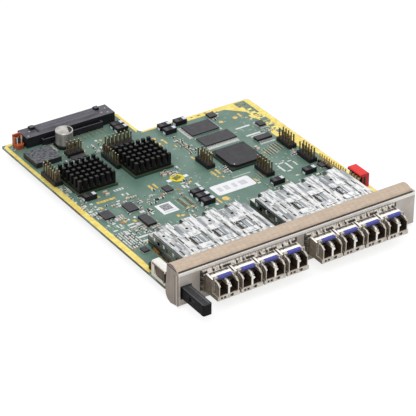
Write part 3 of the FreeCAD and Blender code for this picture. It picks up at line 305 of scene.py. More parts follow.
@dataclass(frozen=True)
class TwoLevel(Finish):
    """A moulded part on metal or laminate: below a height the second material's colour shows."""

    lower: str = "#b9bab6"
    level_mm: float = 0.42

    def tones(self, tree: bpy.types.NodeTree, place: bpy.types.NodeSocket) -> bpy.types.NodeSocket:
        """Return the colour that changes at the level.

        Args:
            tree: Node tree of the material.
            place: Stretched object coordinates.

        Returns:
            The socket that carries the base colour.
        """
        height = add_node(tree, "ShaderNodeSeparateXYZ", None, {"Vector": place}).outputs[2]
        above = add_math(tree, "GREATER_THAN", height, self.level_mm * MM)
        return blend(tree, above, self.lower, super().tones(tree, place))


@dataclass(frozen=True)
class Cloth(Finish):
    """Woven metallised cloth: two sets of threads that cross."""

    thread_mm: float = 0.7
    weave: float = 0.35

    def tones(self, tree: bpy.types.NodeTree, place: bpy.types.NodeSocket) -> bpy.types.NodeSocket:
        """Return the colour with the weave.

        Args:
            tree: Node tree of the material.
            place: Stretched object coordinates.

        Returns:
            The socket that carries the base colour.
        """
        threads = []
        for direction in ("X", "Y"):
            wave = add_node(tree, "ShaderNodeTexWave", {"bands_direction": direction},
                            {"Vector": place, "Scale": 1 / (self.thread_mm * MM) / 3.0,
                             "Distortion": 0.6, "Detail": 1.0})
            threads.append(wave.outputs["Fac"])
        share = add_math(tree, "MULTIPLY", add_math(tree, "MULTIPLY", *threads), self.weave)
        return blend(tree, share, super().tones(tree, place), self.second)


@dataclass(frozen=True)
class FoldedPlate(Finish):
    """Folded sheet whose front face has a painted highlight along its upper fold and grows darker below it.
    """

    fold_mm: float = 12.5
    fade_mm: float = 6.0
    face_mm: float = 0.2
    # Colour of the painted highlight along the fold, and the darker colour towards the foot.
    fold: str = "#f1ede7"
    foot: str = "#8b827a"

    def tones(self, tree: bpy.types.NodeTree, place: bpy.types.NodeSocket) -> bpy.types.NodeSocket:
        """Return the colour with the painted highlight along the fold.

        Args:
            tree: Node tree of the material.
            place: Stretched object coordinates.

        Returns:
            The socket that carries the base colour.
        """
        coords = add_node(tree, "ShaderNodeTexCoord").outputs["Object"]
        depth, height = add_node(tree, "ShaderNodeSeparateXYZ", None, {"Vector": coords}).outputs[1:]
        front = add_math(tree, "LESS_THAN", depth, self.face_mm * MM)
        # Painted highlight on the front face above the fold; below it the face grows darker towards the
        # bottom.
        edge = add_math(tree, "MULTIPLY", front, add_math(tree, "GREATER_THAN", height, self.fold_mm * MM))
        fade = add_range(tree, height, self.fade_mm * MM, -self.fade_mm * MM, 0.0, 0.4)
        shaded = blend(tree, fade, super().tones(tree, place), self.foot)
        return blend(tree, edge, shaded, self.fold)


# Solder mask over laminate: satin, slightly uneven green with paler copper showing through.
MASK = MaskedLaminate("solder_mask_green", "#5c7c6e", "#6d8a7e", 0.42, grain_mm=9.0, relief_mm=1.2,
                      left=("#4a4a38", "#35352a"))
# Gold flash on copper: soft yellow metal with a cloudy sheen.
GOLD = Finish("gold_flash", "#f0d264", "#fff08e", 0.4, metallic=0.3, grain_mm=3.0, share=0.9)
# Ground strip in the cage's shade: amber with dark stains.
AMBER = Finish("shaded_gold_strip", "#b0701f", "#2c2016", 0.4, metallic=0.3, grain_mm=2.4, share=1.0,
               sharp=(0.38, 0.52))
# Gold of small pads: browner and rougher.
PAD_GOLD = Finish("pad_gold", "#dcb04c", "#f4df90", 0.45, metallic=0.3, grain_mm=1.5, share=0.8)
# Copper-toned pads where the gold is thin.
PAD_COPPER = Finish("pad_copper", "#b98552", "#9c6c44", 0.45, metallic=0.3, grain_mm=1.0, share=0.8)
# Reflowed joints and small resistors: dark amber-brown.
JOINT = Finish("flux_brown_joint", "#5d4a2c", "#8f7a4c", 0.5, grain_mm=0.9, share=1.0)
# Tinned pads and end caps: bright, soft grey.
TIN = Finish("tinned_copper", "#d2d4d1", "#fbfbf9", 0.38, metallic=0.3, grain_mm=1.0)
# Solder on the ends of the moulded capacitors, bluish white with a painted highlight.
SOLDER_AND_HIGHLIGHT = Finish("solder_and_painted_highlight", "#d3d9e6", "#f4f6fb", 0.35, grain_mm=1.0)
# White silk-screen ink.
INK = Finish("legend_ink_white", "#b9c6bd", "#a3b3aa", 0.6, grain_mm=1.0)
# Satin nickel plate: warm grey sheet with a brushed drift along the panel, a painted highlight along its
# folded edge, darker towards the bottom, and painted shade on faces that look left.
NICKEL = FoldedPlate("satin_nickel_plate", "#cac3bc", "#978e85", 0.42, metallic=0.3, grain_mm=5.0, share=0.7,
                     stretch=(0.3, 1.0, 0.3), relief=0.004, left=("#998d82", "#80746a"))
# Shaded side of a fold in the plate, and its lit side.
FOLD_SHADE = Finish("nickel_fold_shade", "#6b6056", "#594f46", 0.5)
FOLD_LIGHT = Finish("nickel_fold_light", "#b9afa5", "#aaa095", 0.35)
# Metallised cloth: beige, matt, finely woven.
CLOTH = Cloth("metallised_cloth", "#d2bfab", "#b09c89", 0.8, grain_mm=1.1, share=0.45,
              stretch=(0.2, 1.0, 1.0), relief=0.05)
# Open-cell foam at the gasket's cut ends.
FOAM = Finish("polyurethane_foam_dark", "#4c4648", "#2c2829", 0.95, grain_mm=0.8, relief=0.08)
# Paler skin inside the foam.
FOAM_SKIN = Finish("polyurethane_foam_grey", "#8b8586", "#757072", 0.95, grain_mm=0.8, relief=0.05)
# Bright tin plate of the cages: white roof with sharp rolling streaks, both painted reflection, and
# grey-green walls in painted shade.
TIN_PLATE = Finish("bright_tin_plate", "#6a706b", "#3f4743", 0.24, metallic=0.5, grain_mm=2.6, share=1.0,
                   stretch=(1.0, 0.16, 1.0), relief=0.006, sharp=(0.42, 0.6),
                   top=("#e0e1e0", "#84888a"), left=("#868b85", "#333b38"))
# Crowns and beads of the stampings: bright tin with streaks of painted reflection.
TIN_BRIGHT = Finish("tin_crown_painted_reflection", "#f5f5f5", "#a2a6aa", 0.18, metallic=0.4, grain_mm=1.5, share=0.9,
                    stretch=(1.0, 0.3, 1.0), sharp=(0.46, 0.66))
# Grey of painted shade and painted reflection on the sheet.
TIN_PAINTED_GREY = Finish("tin_painted_grey", "#a2a7ac", "#83898f", 0.35, metallic=0.5, share=0.9,
                  stretch=(1.0, 0.2, 1.0), sharp=(0.42, 0.58))
# Deep folds of the stampings, nearly in the dark.
TIN_SHADE = Finish("shaded_tin_plate", "#5e5c58", "#34332f", 0.5, metallic=0.4, grain_mm=1.2, share=1.0)
# Nickel-plated die casting of the modules: white top, tan-grey walls with painted shade on those that look
# left, fine cast skin.
CASTING = Finish("nickel_plated_casting", "#dcd5ca", "#b3aa9d", 0.34, metallic=0.45, grain_mm=1.6, share=0.9,
                 top=("#dbd4ca", "#b3aa9d"), left=("#988d7f", "#776c5f"))
# Painted highlights on edges of the castings and on the spring lips: bright nickel.
CASTING_HIGHLIGHT = Finish("nickel_painted_highlight", "#fbf9f4", "#e2ddd4", 0.25, metallic=0.4, grain_mm=1.0)
# Deep gaps of the castings: brown-black.
CASTING_SHADE = Finish("shaded_nickel_gap", "#43382f", "#2c251f", 0.6, grain_mm=1.0)
# Spring sheet of the collars, lighter on top as painted light and darker on faces that look left as painted
# shade.
SPRING = Finish("tinned_spring_sheet", "#b9b1a5", "#8d8477", 0.36, metallic=0.5, grain_mm=0.9, share=1.0,
                stretch=(1.0, 0.4, 1.0), sharp=(0.42, 0.58), top=("#e3ded6", "#a39a8d"),
                left=("#7c7063", "#544a40"))
# Dark inside of the ports: moulded brown-black polymer, also painted shade; the same finish is painted shade
# in the fuse holder, the switch's slot and a line on the rear connector.
PORT_DARK_AND_SHADE = Finish("dark_polymer_and_painted_shade", "#2b2119", "#40342b", 0.45, specular=0.3, grain_mm=1.0, share=0.8)
# Blue moulded grip: satin polyamide, lighter on top as painted light.
BLUE = Finish("blue_polyamide", "#3a3e92", "#30347c", 0.42, grain_mm=1.5, relief=0.02,
              top=("#4549a4", "#3a3e92"))
# Steel wire: bright drawn metal.
WIRE = Finish("steel_wire", "#bdb8b0", "#8f8a82", 0.3, metallic=0.6, grain_mm=1.0)
# Black glass-filled nylon: soft sheen, fine pebble, and a lighter top as painted light.
NYLON = Finish("black_glass_nylon", "#191818", "#212020", 0.5, specular=0.2, grain_mm=1.5, relief=0.03,
               top=("#29282b", "#1f1e20"))
# Handle moulding: greyer black, with a pale upper side as painted light and a darker left side as painted
# shade.
HANDLE = Finish("handle_abs_black", "#1a1a1b", "#222223", 0.5, specular=0.06, relief=0.02,
                top=("#444446", "#363638"), left=("#161616", "#1d1d1d"))
# Painted highlight on the handle's edges, and its grip recess in the dark.
HANDLE_HIGHLIGHT = Finish("handle_abs_painted_highlight", "#565558", "#4a494c", 0.4)
HANDLE_RECESS = Finish("handle_abs_recess", "#0d0d0d", "#151515", 0.6)
# Connector moulding: blue-black with a pale top as painted light.
CONNECTOR = Finish("connector_polymer_black", "#1b1b1f", "#242429", 0.4, specular=0.25, share=0.8,
                   stretch=(0.3, 1.0, 1.0), top=("#626068", "#4b4a51"))
# Sheen along the connector's moulded ribs.
CONNECTOR_SHEEN = Finish("connector_polymer_sheen", "#6f6d75", "#5c5a62", 0.35)
# Chip moulding: dark grey epoxy, matt, with a lighter top as painted light.
EPOXY = Finish("chip_epoxy_grey", "#181719", "#201f21", 0.55, specular=0.2,
               top=("#2f2d31", "#1f1e21"))
# Leaded chips: epoxy over tinned leads, with a lighter top as painted light.
LEADED = TwoLevel("chip_epoxy_on_leads", "#1c1c1e", "#242426", 0.55, specular=0.25,
                  top=("#4c4b4f", "#3c3b3f"))
# Laminate of the switch chips: dark green with an olive top.
SUBSTRATE = Finish("dark_green_laminate", "#2c4233", "#1f3026", 0.5, grain_mm=3.0, top=("#33452f", "#4b5433"))
# Processor: nearly black green substrate under a dark satin cap, whose top is lighter as painted light.
DARK_SUBSTRATE = Finish("processor_substrate", "#15241c", "#101a15", 0.5, specular=0.3)
CAP = Finish("processor_cap_epoxy", "#201f22", "#19181b", 0.5, specular=0.3, grain_mm=3.0,
             top=("#363539", "#2c2b2f"))
# Black anodised aluminium, with the pins' tips lighter as painted light.
ANODISED = Finish("black_anodised_aluminium", "#100f0f", "#191818", 0.45, metallic=0.1, specular=0.2,
                  top=("#363435", "#272626"))
# Potting compound of the converter: dark grey, rippled on top, lighter on top as painted light, black round
# the edge.
POTTING = Finish("potted_epoxy", "#1d1e20", "#26272a", 0.45, specular=0.3, grain_mm=1.1, share=1.0,
                 relief=0.06, stretch=(0.6, 1.0, 1.0), relief_mm=1.2, sharp=(0.44, 0.6),
                 top=("#6a6c72", "#2e3035"))
# Rolled aluminium can: shaded wall with upright streaks of painted reflection, under a top that is painted
# light.
ALUMINIUM = Finish("rolled_aluminium", "#c3c0ba", "#86837d", 0.3, metallic=0.5, grain_mm=5.0, share=1.0,
                   stretch=(1.0, 1.0, 0.08), sharp=(0.4, 0.6), top=("#cfccc6", "#a5a29c"))
# Rolled rim of the can: painted highlight.
RIM_HIGHLIGHT = Finish("aluminium_rim_painted_highlight", "#e2e0db", "#cfccc6", 0.25)
# Orange-brown polymer of the fuse holder, lighter on top as painted light.
ORANGE = Finish("orange_polymer", "#9a4320", "#843617", 0.4, top=("#c5673a", "#b4552c"))
# Red polymer cover, brighter red on top as painted light; its left side is open and shows the black block.
RED = Finish("red_polymer", "#d0383a", "#bf3133", 0.45, specular=0.25, grain_mm=1.5,
             top=("#f03432", "#e62f2e"), left=("#1f1b1b", "#2a2424"))
# White polymer sliders.
WHITE = Finish("white_polymer", "#e6e6e2", "#dcdcd6", 0.45, grain_mm=1.0)
# Zinc-plated bracket: very pale, whiter on top as painted light.
ZINC = Finish("zinc_plate_pale", "#d5cfc3", "#bdb6a8", 0.35, metallic=0.3,
              top=("#f6f4ee", "#e6e2d9"), left=("#d8d1c4", "#b9b1a2"))
# Tan ceramic of chip capacitors.
CERAMIC = Finish("tan_ceramic", "#b78a68", "#a87c5b", 0.5, grain_mm=0.8)
# Pale ceramic of the smallest chips.
PALE_CERAMIC = Finish("pale_ceramic", "#b9aba0", "#a39489", 0.5)
# Paper label: white, matt.
PAPER = Finish("label_paper", "#f8f8fb", "#eeeef3", 0.6, grain_mm=3.0)
# Faint grey print on labels.
PRINT = Finish("label_print_grey", "#dadbe0", "#c3c5cc", 0.6, grain_mm=1.0)
# Dark print of a code square.
CODE = Finish("label_print_dark", "#6a6b72", "#a9abb1", 0.6, grain_mm=0.8, share=1.0, sharp=(0.46, 0.54))
# Yellow sticker.
YELLOW = Finish("yellow_sticker", "#ece02a", "#d8c61f", 0.5)
# Brown-grey print on the sticker.
STICKER_PRINT = Finish("sticker_print_olive", "#5a531e", "#98891f", 0.5, grain_mm=0.8, share=1.0)
# Laser-marked code square on the laminate.
LASER = Finish("laser_code_grey", "#56685a", "#93a08a", 0.6, grain_mm=0.9, share=1.0, sharp=(0.44, 0.56))
# Gold-plated pins: brownish yellow, with bright tips as painted highlight.
PIN_GOLD = Finish("pin_gold", "#7f6f4e", "#4f4430", 0.35, metallic=0.4, grain_mm=1.6, share=0.9,
                  top=("#dccfa8", "#c9b98c"))
# Leads of the switch block: pale, almost white gold.
LEAD_GOLD = Finish("lead_gold", "#f7dca6", "#e6bd7c", 0.4, grain_mm=1.0)
# Posts beside the right edge: yellow gold with copper-brown patches.
POST_GOLD = Finish("post_gold", "#ecc862", "#b06a34", 0.4, metallic=0.3, grain_mm=3.0, share=1.0,
                   sharp=(0.46, 0.6))
# Contacts of the rear blade: dull greyish gold.
BLADE_GOLD = Finish("blade_contact_gold", "#a9a28c", "#7a7462", 0.4, metallic=0.4, grain_mm=1.2, share=0.9)
# Zinc plate in its own shade: tan-brown.
ZINC_SHADE = Finish("shaded_zinc_plate", "#574a3c", "#3c332a", 0.55, grain_mm=1.6)
# Epoxy stripe that marks a capacitor's plus end: slightly lighter than the moulding.
STRIPE = Finish("epoxy_stripe", "#3d3a40", "#343137", 0.5)


def once(items: list) -> list:
    """Return the items without repeats, in the order in which they first appear."""
    return list(dict.fromkeys(items))


class Shaper:
    """Collects the solids of one piece in a bmesh, in millimetres, and turns them into an object."""

    def __init__(self) -> None:
        """Start with an empty mesh."""
        self.mesh = bmesh.new()

    def _bevel(self, edges: list, width: float, segments: int) -> None:
        """Bevel edges of the mesh."""
        bmesh.ops.bevel(self.mesh, geom=edges, offset=width, segments=segments, profile=0.5,
                        affect="EDGES", material=-1)

    def _dress(self, verts: list, slot: int, bevel: float) -> None:
        """Give a new shape its slot and bevel its edges.

        Args:
            verts: Vertices of the shape.
            slot: Material slot.
            bevel: Width of the bevel, 0 for sharp edges.
        """
        for face in once([face for vert in verts for face in vert.link_faces]):
            face.material_index = slot
        if bevel > 0:
            self._bevel(once([edge for vert in verts for edge in vert.link_edges]), bevel, 1)

    def slab(self, low: Point, high: Point, slot: int = 0, bevel: float = 0.0, turn: float = 0.0) -> None:
        """Add a block between two corners.

        Args:
            low: Lowest corner.
            high: Highest corner.
            slot: Material slot.
            bevel: Width of the bevel on every edge.
            turn: Angle about Z in degrees, about the block's middle.
        """
        first, last = Vector(low), Vector(high)
        spin = Matrix.Rotation(math.radians(turn), 4, "Z")
        place = Matrix.Translation((first + last) / 2) @ spin @ Matrix.Diagonal((*(last - first), 1))
        made = bmesh.ops.create_cube(self.mesh, size=1.0, matrix=place)
        self._dress(made["verts"], slot, bevel)

    def plate(self, x: float, y: float, width: float, length: float, low: float, high: float, slot: int = 0,
              bevel: float = 0.0, turn: float = 0.0) -> None:
        """Add a block over a middle in the board's plane.

        Args:
            x: Middle.
            y: Middle.
            width: Size along X.
            length: Size along Y.
            low: Underside.
            high: Top.
            slot: Material slot.
            bevel: Width of the bevel on every edge.
            turn: Angle about Z in degrees.
        """
        half_x, half_y = width / 2, length / 2
        self.slab((x - half_x, y - half_y, low), (x + half_x, y + half_y, high), slot, bevel, turn)

    def rod(self, start: Point, end: Point, radius: float, sides: int = 14, slot: int = 0,
            bevel: float = 0.0) -> None:
        """Add a round bar.

        Args:
            start: Centre of one end.
            end: Centre of the other end.
            radius: Radius of the bar.
            sides: Number of sides.
            slot: Material slot.
            bevel: Width of the bevel on the rims.
        """
        first, last = Vector(start), Vector(end)
        line = last - first
        place = Matrix.Translation((first + last) / 2) @ line.to_track_quat("Z", "Y").to_matrix().to_4x4()
        made = bmesh.ops.create_cone(self.mesh, cap_ends=True, segments=sides, radius1=radius,
                                     radius2=radius, depth=line.length, matrix=place)
        self._dress(made["verts"], slot, 0.0)
        if bevel > 0:
            rims = [edge for edge in once([e for v in made["verts"] for e in v.link_edges])
                    if any(len(face.verts) > 4 for face in edge.link_faces)]
            self._bevel(rims, bevel, 2)

    def section(self, outline: list[Spot], low: float, high: float, axis: Axis = Axis.X, slot: int = 0,
                bevel: float = 0.0) -> None:
        """Add a closed outline drawn out along an axis.

        Args:
            outline: Points in the plane across the axis, in the order of the other two axes.
            low: Start along the axis.
            high: End along the axis.
            axis: Direction of the extrusion.
            slot: Material slot.
            bevel: Width of the bevel on every edge.
        """
        points = []
        for first, second in outline:
            point = [first, second]
            point.insert(axis.value, low)
            points.append(self.mesh.verts.new(point))
        cap = self.mesh.faces.new(points)
        step = Vector((0.0, 0.0, 0.0))
        step[axis.value] = high - low
        drawn = bmesh.ops.extrude_face_region(self.mesh, geom=[cap])
        moved = [item for item in drawn["geom"] if isinstance(item, bmesh.types.BMVert)]
        bmesh.ops.translate(self.mesh, verts=moved, vec=step)
        every = points + moved
        bmesh.ops.recalc_face_normals(self.mesh, faces=once([f for v in every for f in v.link_faces]))
        self._dress(every, slot, bevel)

    def piece(self, name: str, finishes: list[Finish], body: Body | str = Body.CARD) -> bpy.types.Object:
        """Turn the mesh into an object in metres that rides on a body.

        Args:
            name: Name of the piece.
            finishes: Finish of each slot.
            body: Body it moves with.

        Returns:
            The new object.
        """
        made = self.placed(name, [finish.material() for finish in finishes])
        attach(made, body.value if isinstance(body, Body) else body)
        LOG.info("piece %s: %d faces", name, len(made.data.polygons))
        return made

    def placed(self, name: str, materials: list[bpy.types.Material]) -> bpy.types.Object:
        """Scale the mesh to metres and put it in the scene.

        Args:
            name: Name of the object.
            materials: Material of each slot.

        Returns:
            The new object.
        """
        bmesh.ops.scale(self.mesh, vec=(MM, MM, MM), verts=self.mesh.verts)
        data = bpy.data.meshes.new(name)
        self.mesh.to_mesh(data)
        self.mesh.free()
        for material in materials:
            data.materials.append(material)
        made = bpy.data.objects.new(name, data)
        bpy.context.scene.collection.objects.link(made)
        return made


def spaced(middle: float, count: int, pitch: float) -> list[float]:
    """Return places at a pitch about a middle.

    Args:
        middle: Middle of the row.
        count: Number of places.
        pitch: Distance from one to the next.

    Returns:
        The places, from the lowest.
    """
    return [middle + (index - (count - 1) / 2) * pitch for index in range(count)]


def between(start: Spot, end: Spot, count: int) -> list[Vector]:
    """Return evenly spaced spots from a start to an end.

    Args:
        start: First spot.
        end: Last spot.
        count: Number of spots.

    Returns:
        The spots, from the start.
    """
    return [Vector(start).lerp(Vector(end), index / (count - 1)) for index in range(count)]


def node_box(node: str) -> tuple[Vector, Vector]:
    """Return a CAD node's lowest and highest corner in millimetres."""
    low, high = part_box(node)
    return Vector(low) / MM, Vector(high) / MM


def paint(finish: Finish, *nodes: str) -> None:
    """Give CAD nodes a finish.

    Args:
        finish: The finish.
        nodes: Names of the nodes.
    """
    for node in nodes:
        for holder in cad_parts[node].material_slots:
            holder.material = finish.material()
    LOG.info("finish %s on %s", finish.name, ", ".join(nodes))


@dataclass
class CadFinishes:
    """Finishes of the nodes that keep their own shape."""

    sliders: int = 4

    def dress(self) -> None:
        """Paint every node."""
        numbered = [f"module_{number}" for number in range(1, MODULES + 1)]
        bails = [f"bail_{number}" for number in range(1, MODULES + 1)]
        sliders = [f"dip_slider_{number}" for number in range(1, self.sliders + 1)]
        plan = (
            (MASK, ["board"]), (NICKEL, ["front_panel"]), (FOAM, ["gasket_foam"]),
            (CLOTH, ["gasket_fabric"]), (TIN_PLATE, ["cage_left", "cage_right"]),
            (SPRING, ["spring_collar_left", "spring_collar_right"]), (CASTING, numbered),
            (WIRE, bails + ["latch_rod", "board_screws", "fuse_link"]),
            (NYLON, ["host_connectors", "handle_switch", "capacitor_base", "header_bases"]),
            (HANDLE, ["pull_handle"]), (ZINC, ["latch_bracket", "panel_block"]),
            (CONNECTOR, ["rear_connector"]), (PIN_GOLD, ["header_pins"]), (GOLD, ["dip_pins"]),
            (BLADE_GOLD, ["rear_contacts"]), (ORANGE, ["fuse_holder"]), (ALUMINIUM, ["capacitor_can"]),
            (POTTING, ["power_module"]), (ANODISED, ["heat_sink_1", "heat_sink_2"]),
            (SUBSTRATE, ["switch_chip_1", "switch_chip_2", "processor"]),
            (LEADED, ["memory_chips", "small_chips"]), (EPOXY, ["tantalum_capacitors"]),
            (RED, ["dip_body"]), (WHITE, sliders), (AMBER, ["ground_strip"]),
        )
        for finish, nodes in plan:
            paint(finish, *nodes)


@dataclass
class BoardCopper:
    """Bare gold along the board's edges and the pads between the parts."""

    rise: float = 0.05
    seed: int = 11
    speckles: int = 120
    edges: tuple = (
        ((-74.25, 128.0), (-70.9, 128.0), (-70.6, 40.0), (-71.2, 28.4), (-74.25, 28.4)),
        ((-74.25, 181.5), (-72.0, 183.6), (-72.0, 145.0), (-71.0, 141.0), (-71.0, 128.0), (-74.25, 128.0)),
        ((-71.9, 183.9), (-66.5, 183.9), (-66.5, 182.0), (-72.0, 182.0)),
        ((-2.0, 183.9), (-0.05, 181.6), (-0.05, 159.0), (-2.0, 157.0)),
        ((-5.0, 183.9), (-2.0, 183.9), (-2.0, 181.0), (-5.0, 181.0)),
        ((0.6, 156.4), (30.0, 156.4), (30.0, 155.0), (0.6, 155.0)),
        ((30.0, 156.4), (55.0, 156.4), (55.0, 152.2), (30.0, 152.2)),
        ((55.0, 156.4), (63.5, 156.4), (63.5, 149.2), (69.0, 149.2), (69.0, 139.0), (65.0, 139.0),
         (64.2, 143.2), (55.0, 152.2)),
        ((63.5, 156.4), (71.0, 156.4), (73.0, 155.8), (74.1, 153.5), (74.1, 30.0), (71.6, 30.0),
         (70.8, 60.0), (70.6, 155.2), (63.5, 155.2)),
        ((63.0, 139.0), (70.6, 139.0), (70.6, 128.4), (66.0, 128.4), (65.0, 133.0), (63.0, 136.0)),
        ((65.3, 127.0), (70.6, 127.0), (70.6, 105.0), (62.5, 105.0), (62.5, 116.0), (65.3, 118.0)),
        ((67.0, 104.5), (70.7, 104.5), (70.7, 84.0), (68.0, 84.0), (66.0, 96.0)),
    )
    openings: tuple = (
        (67.5, 147.3, 3.2, 3.4), (68.0, 142.8, 3.6, 2.2), (67.3, 138.5, 2.4, 1.6), (68.6, 134.0, 2.0, 1.6),
        (68.3, 130.6, 4.4, 3.6), (67.5, 122.0, 3.6, 2.6), (68.6, 126.0, 1.6, 1.4), (67.9, 114.6, 3.6, 3.4),
        (67.2, 118.4, 1.6, 1.4), (69.4, 110.0, 1.4, 2.0), (34.0, 154.6, 1.4, 1.0), (38.6, 154.4, 2.2, 1.1),
        (43.2, 154.8, 1.6, 0.9), (48.0, 154.2, 1.2, 0.9),
    )
    rounds: tuple = (
        (45.3, 141.0, 1.3), (55.0, 141.0, 1.5), (-10.6, 146.0, 0.9), (5.5, 141.3, 1.0),
        (0.2, 68.5, 2.1), (-24.0, 160.0, 0.9), (1.6, 138.5, 1.2), (2.2, 145.0, 1.2), (1.4, 135.6, 1.1),
    )
    oblongs: tuple = (
        (58.8, 142.0, 1.3, 4.2), (5.8, 138.2, 1.2, 3.4), (-28.0, 100.2, 1.5, 5.4), (-25.0, 100.2, 1.3, 5.4),
        (9.4, 94.5, 1.3, 5.6), (12.4, 94.8, 1.2, 5.4), (9.6, 90.2, 1.4, 1.4), (12.0, 88.6, 1.2, 1.6),
        (9.0, 115.0, 1.2, 3.2), (1.2, 141.0, 1.2, 2.0), (25.0, 76.0, 1.2, 3.2), (8.2, 131.5, 0.8, 2.8),
        (-60.6, 101.8, 1.7, 2.0), (-58.5, 101.6, 2.0, 1.9), (-56.5, 101.6, 1.8, 1.9),
        (-54.7, 101.6, 1.5, 1.7), (-52.5, 101.6, 2.2, 1.9), (-50.5, 101.8, 1.5, 1.7),
        (-44.4, 97.9, 1.6, 1.9), (-42.4, 97.2, 1.3, 1.9), (-57.0, 107.2, 1.6, 1.9), (-31.1, 67.2, 1.5, 2.4),
        (-28.7, 66.4, 2.2, 1.6), (-38.0, 155.2, 1.2, 3.0), (-58.2, 77.6, 1.5, 2.3), (-53.4, 75.4, 1.7, 2.5),
        (-58.9, 52.8, 1.7, 3.0), (-61.9, 96.0, 1.5, 2.2), (-22.0, 71.6, 1.4, 1.3), (-19.6, 71.6, 1.6, 1.1),
        (-6.4, 94.0, 1.6, 1.5), (-4.2, 68.4, 1.2, 5.6),
        (60.5, 137.6, 1.6, 1.0), (61.5, 134.4, 1.0, 1.4), (39.3, 66.4, 1.0, 1.2), (48.4, 67.6, 1.2, 0.8),
        (46.5, 98.6, 1.4, 0.9), (-63.0, 96.8, 1.4, 1.0), (-37.0, 139.4, 0.7, 2.6),
    )
    bars: tuple = (
        (52.3, 129.2, 9.6, 1.5), (52.9, 119.2, 9.6, 1.6), (44.0, 78.5, 1.3, 7.4), (49.4, 79.0, 1.2, 7.6),
        (-57.8, 59.9, 6.4, 1.6), (-58.7, 55.5, 5.0, 1.5), (-57.1, 73.4, 4.2, 1.4), (-57.2, 70.6, 4.2, 1.3),
        (-53.2, 71.8, 3.0, 2.6), (-63.9, 67.6, 1.3, 4.0), (-67.4, 72.2, 2.6, 1.2), (-62.9, 72.6, 2.0, 1.0),
        (-64.2, 75.3, 0.9, 2.8), (-62.2, 75.3, 0.9, 2.8), (-68.0, 78.6, 1.1, 1.6), (-64.5, 78.8, 2.0, 1.4),
        (-55.9, 78.2, 1.6, 1.6), (-51.6, 78.6, 1.4, 1.8), (-46.4, 107.9, 1.2, 2.1), (-44.7, 107.9, 1.2, 2.1),
        (-43.0, 107.9, 1.2, 2.1), (-41.4, 107.9, 1.1, 2.0), (-69.9, 93.0, 1.1, 1.9), (-66.7, 93.1, 1.1, 1.9),
        (-63.9, 92.6, 1.1, 1.9), (-60.6, 92.8, 1.1, 1.9), (-44.9, 92.6, 1.2, 2.4), (-4.6, 89.0, 1.6, 4.4),
        (-12.2, 91.4, 1.4, 3.4), (-10.4, 90.4, 1.2, 3.0), (44.4, 84.2, 1.2, 1.2), (49.6, 85.0, 1.2, 1.2),
        (47.0, 83.4, 3.4, 0.9), (52.6, 83.2, 2.6, 0.9), (46.4, 74.2, 2.8, 0.9), (54.0, 79.4, 1.0, 4.4),
        (47.2, 68.0, 1.6, 1.2),
        (25.0, 72.6, 2.0, 1.4), (-26.5, 161.0, 1.4, 1.8), (-68.6, 102.7, 2.4, 2.1), (-64.4, 102.6, 1.8, 1.7),
        (-68.7, 96.0, 2.2, 1.8), (-64.0, 96.1, 1.8, 1.5), (-44.8, 102.0, 1.4, 2.0), (-42.2, 101.4, 1.1, 2.6),
        (-13.4, 66.6, 1.4, 2.0), (-7.0, 66.2, 1.8, 2.0), (-63.8, 99.0, 1.2, 1.6), (62.3, 135.0, 1.4, 1.2),
    )
    coppers: tuple = (
        (-60.1, 77.6, 1.8, 2.2), (-57.1, 52.2, 1.3, 1.8), (-68.4, 51.0, 1.8, 1.3), (-17.3, 71.8, 1.6, 1.3),
        (-16.2, 90.6, 1.3, 2.6), (-27.0, 90.2, 1.2, 2.6), (-40.4, 92.4, 1.2, 3.2), (-65.2, 61.2, 1.0, 1.8),
    )

    def build(self) -> None:
        """Build the edge plating, its bare openings, and the pads."""
        plating = Shaper()
        for outline in self.edges:
            plating.section(list(outline), 0.0, self.rise, Axis.Z)
        plating.piece("edge_plating", [GOLD])
        gaps = Shaper()
        for x, y, width, length in self.openings:
            gaps.plate(x, y, width, length, 0.0, 2 * self.rise, 0, self.rise)
        dice = random.Random(self.seed)
        taken = [(x, y, max(width, length) / 2) for x, y, width, length in self.openings]
        for _ in range(self.speckles):
            x, y, side = dice.uniform(65.6, 70.2), dice.uniform(111.0, 145.5), dice.uniform(0.45, 0.7)
            if all(math.hypot(x - u, y - v) > reach + 1.2 * side for u, v, reach in taken):
                taken.append((x, y, 1.2 * side))
                gaps.plate(x, y, side, 2 * side, 0.0, 2 * self.rise, 0, 0.0, 45.0)
        gaps.piece("edge_plating_openings", [MASK])
        pads = Shaper()
        for x, y, radius in self.rounds:
            pads.rod((x, y, 0.0), (x, y, self.rise), radius, 20)
        for slot, table in enumerate((self.oblongs, self.bars, self.coppers)):
            for place in table:
                pads.plate(*place, 0.0, 2 * self.rise, slot, self.rise)
        pads.piece("solder_pads", [PAD_GOLD, TIN, PAD_COPPER])


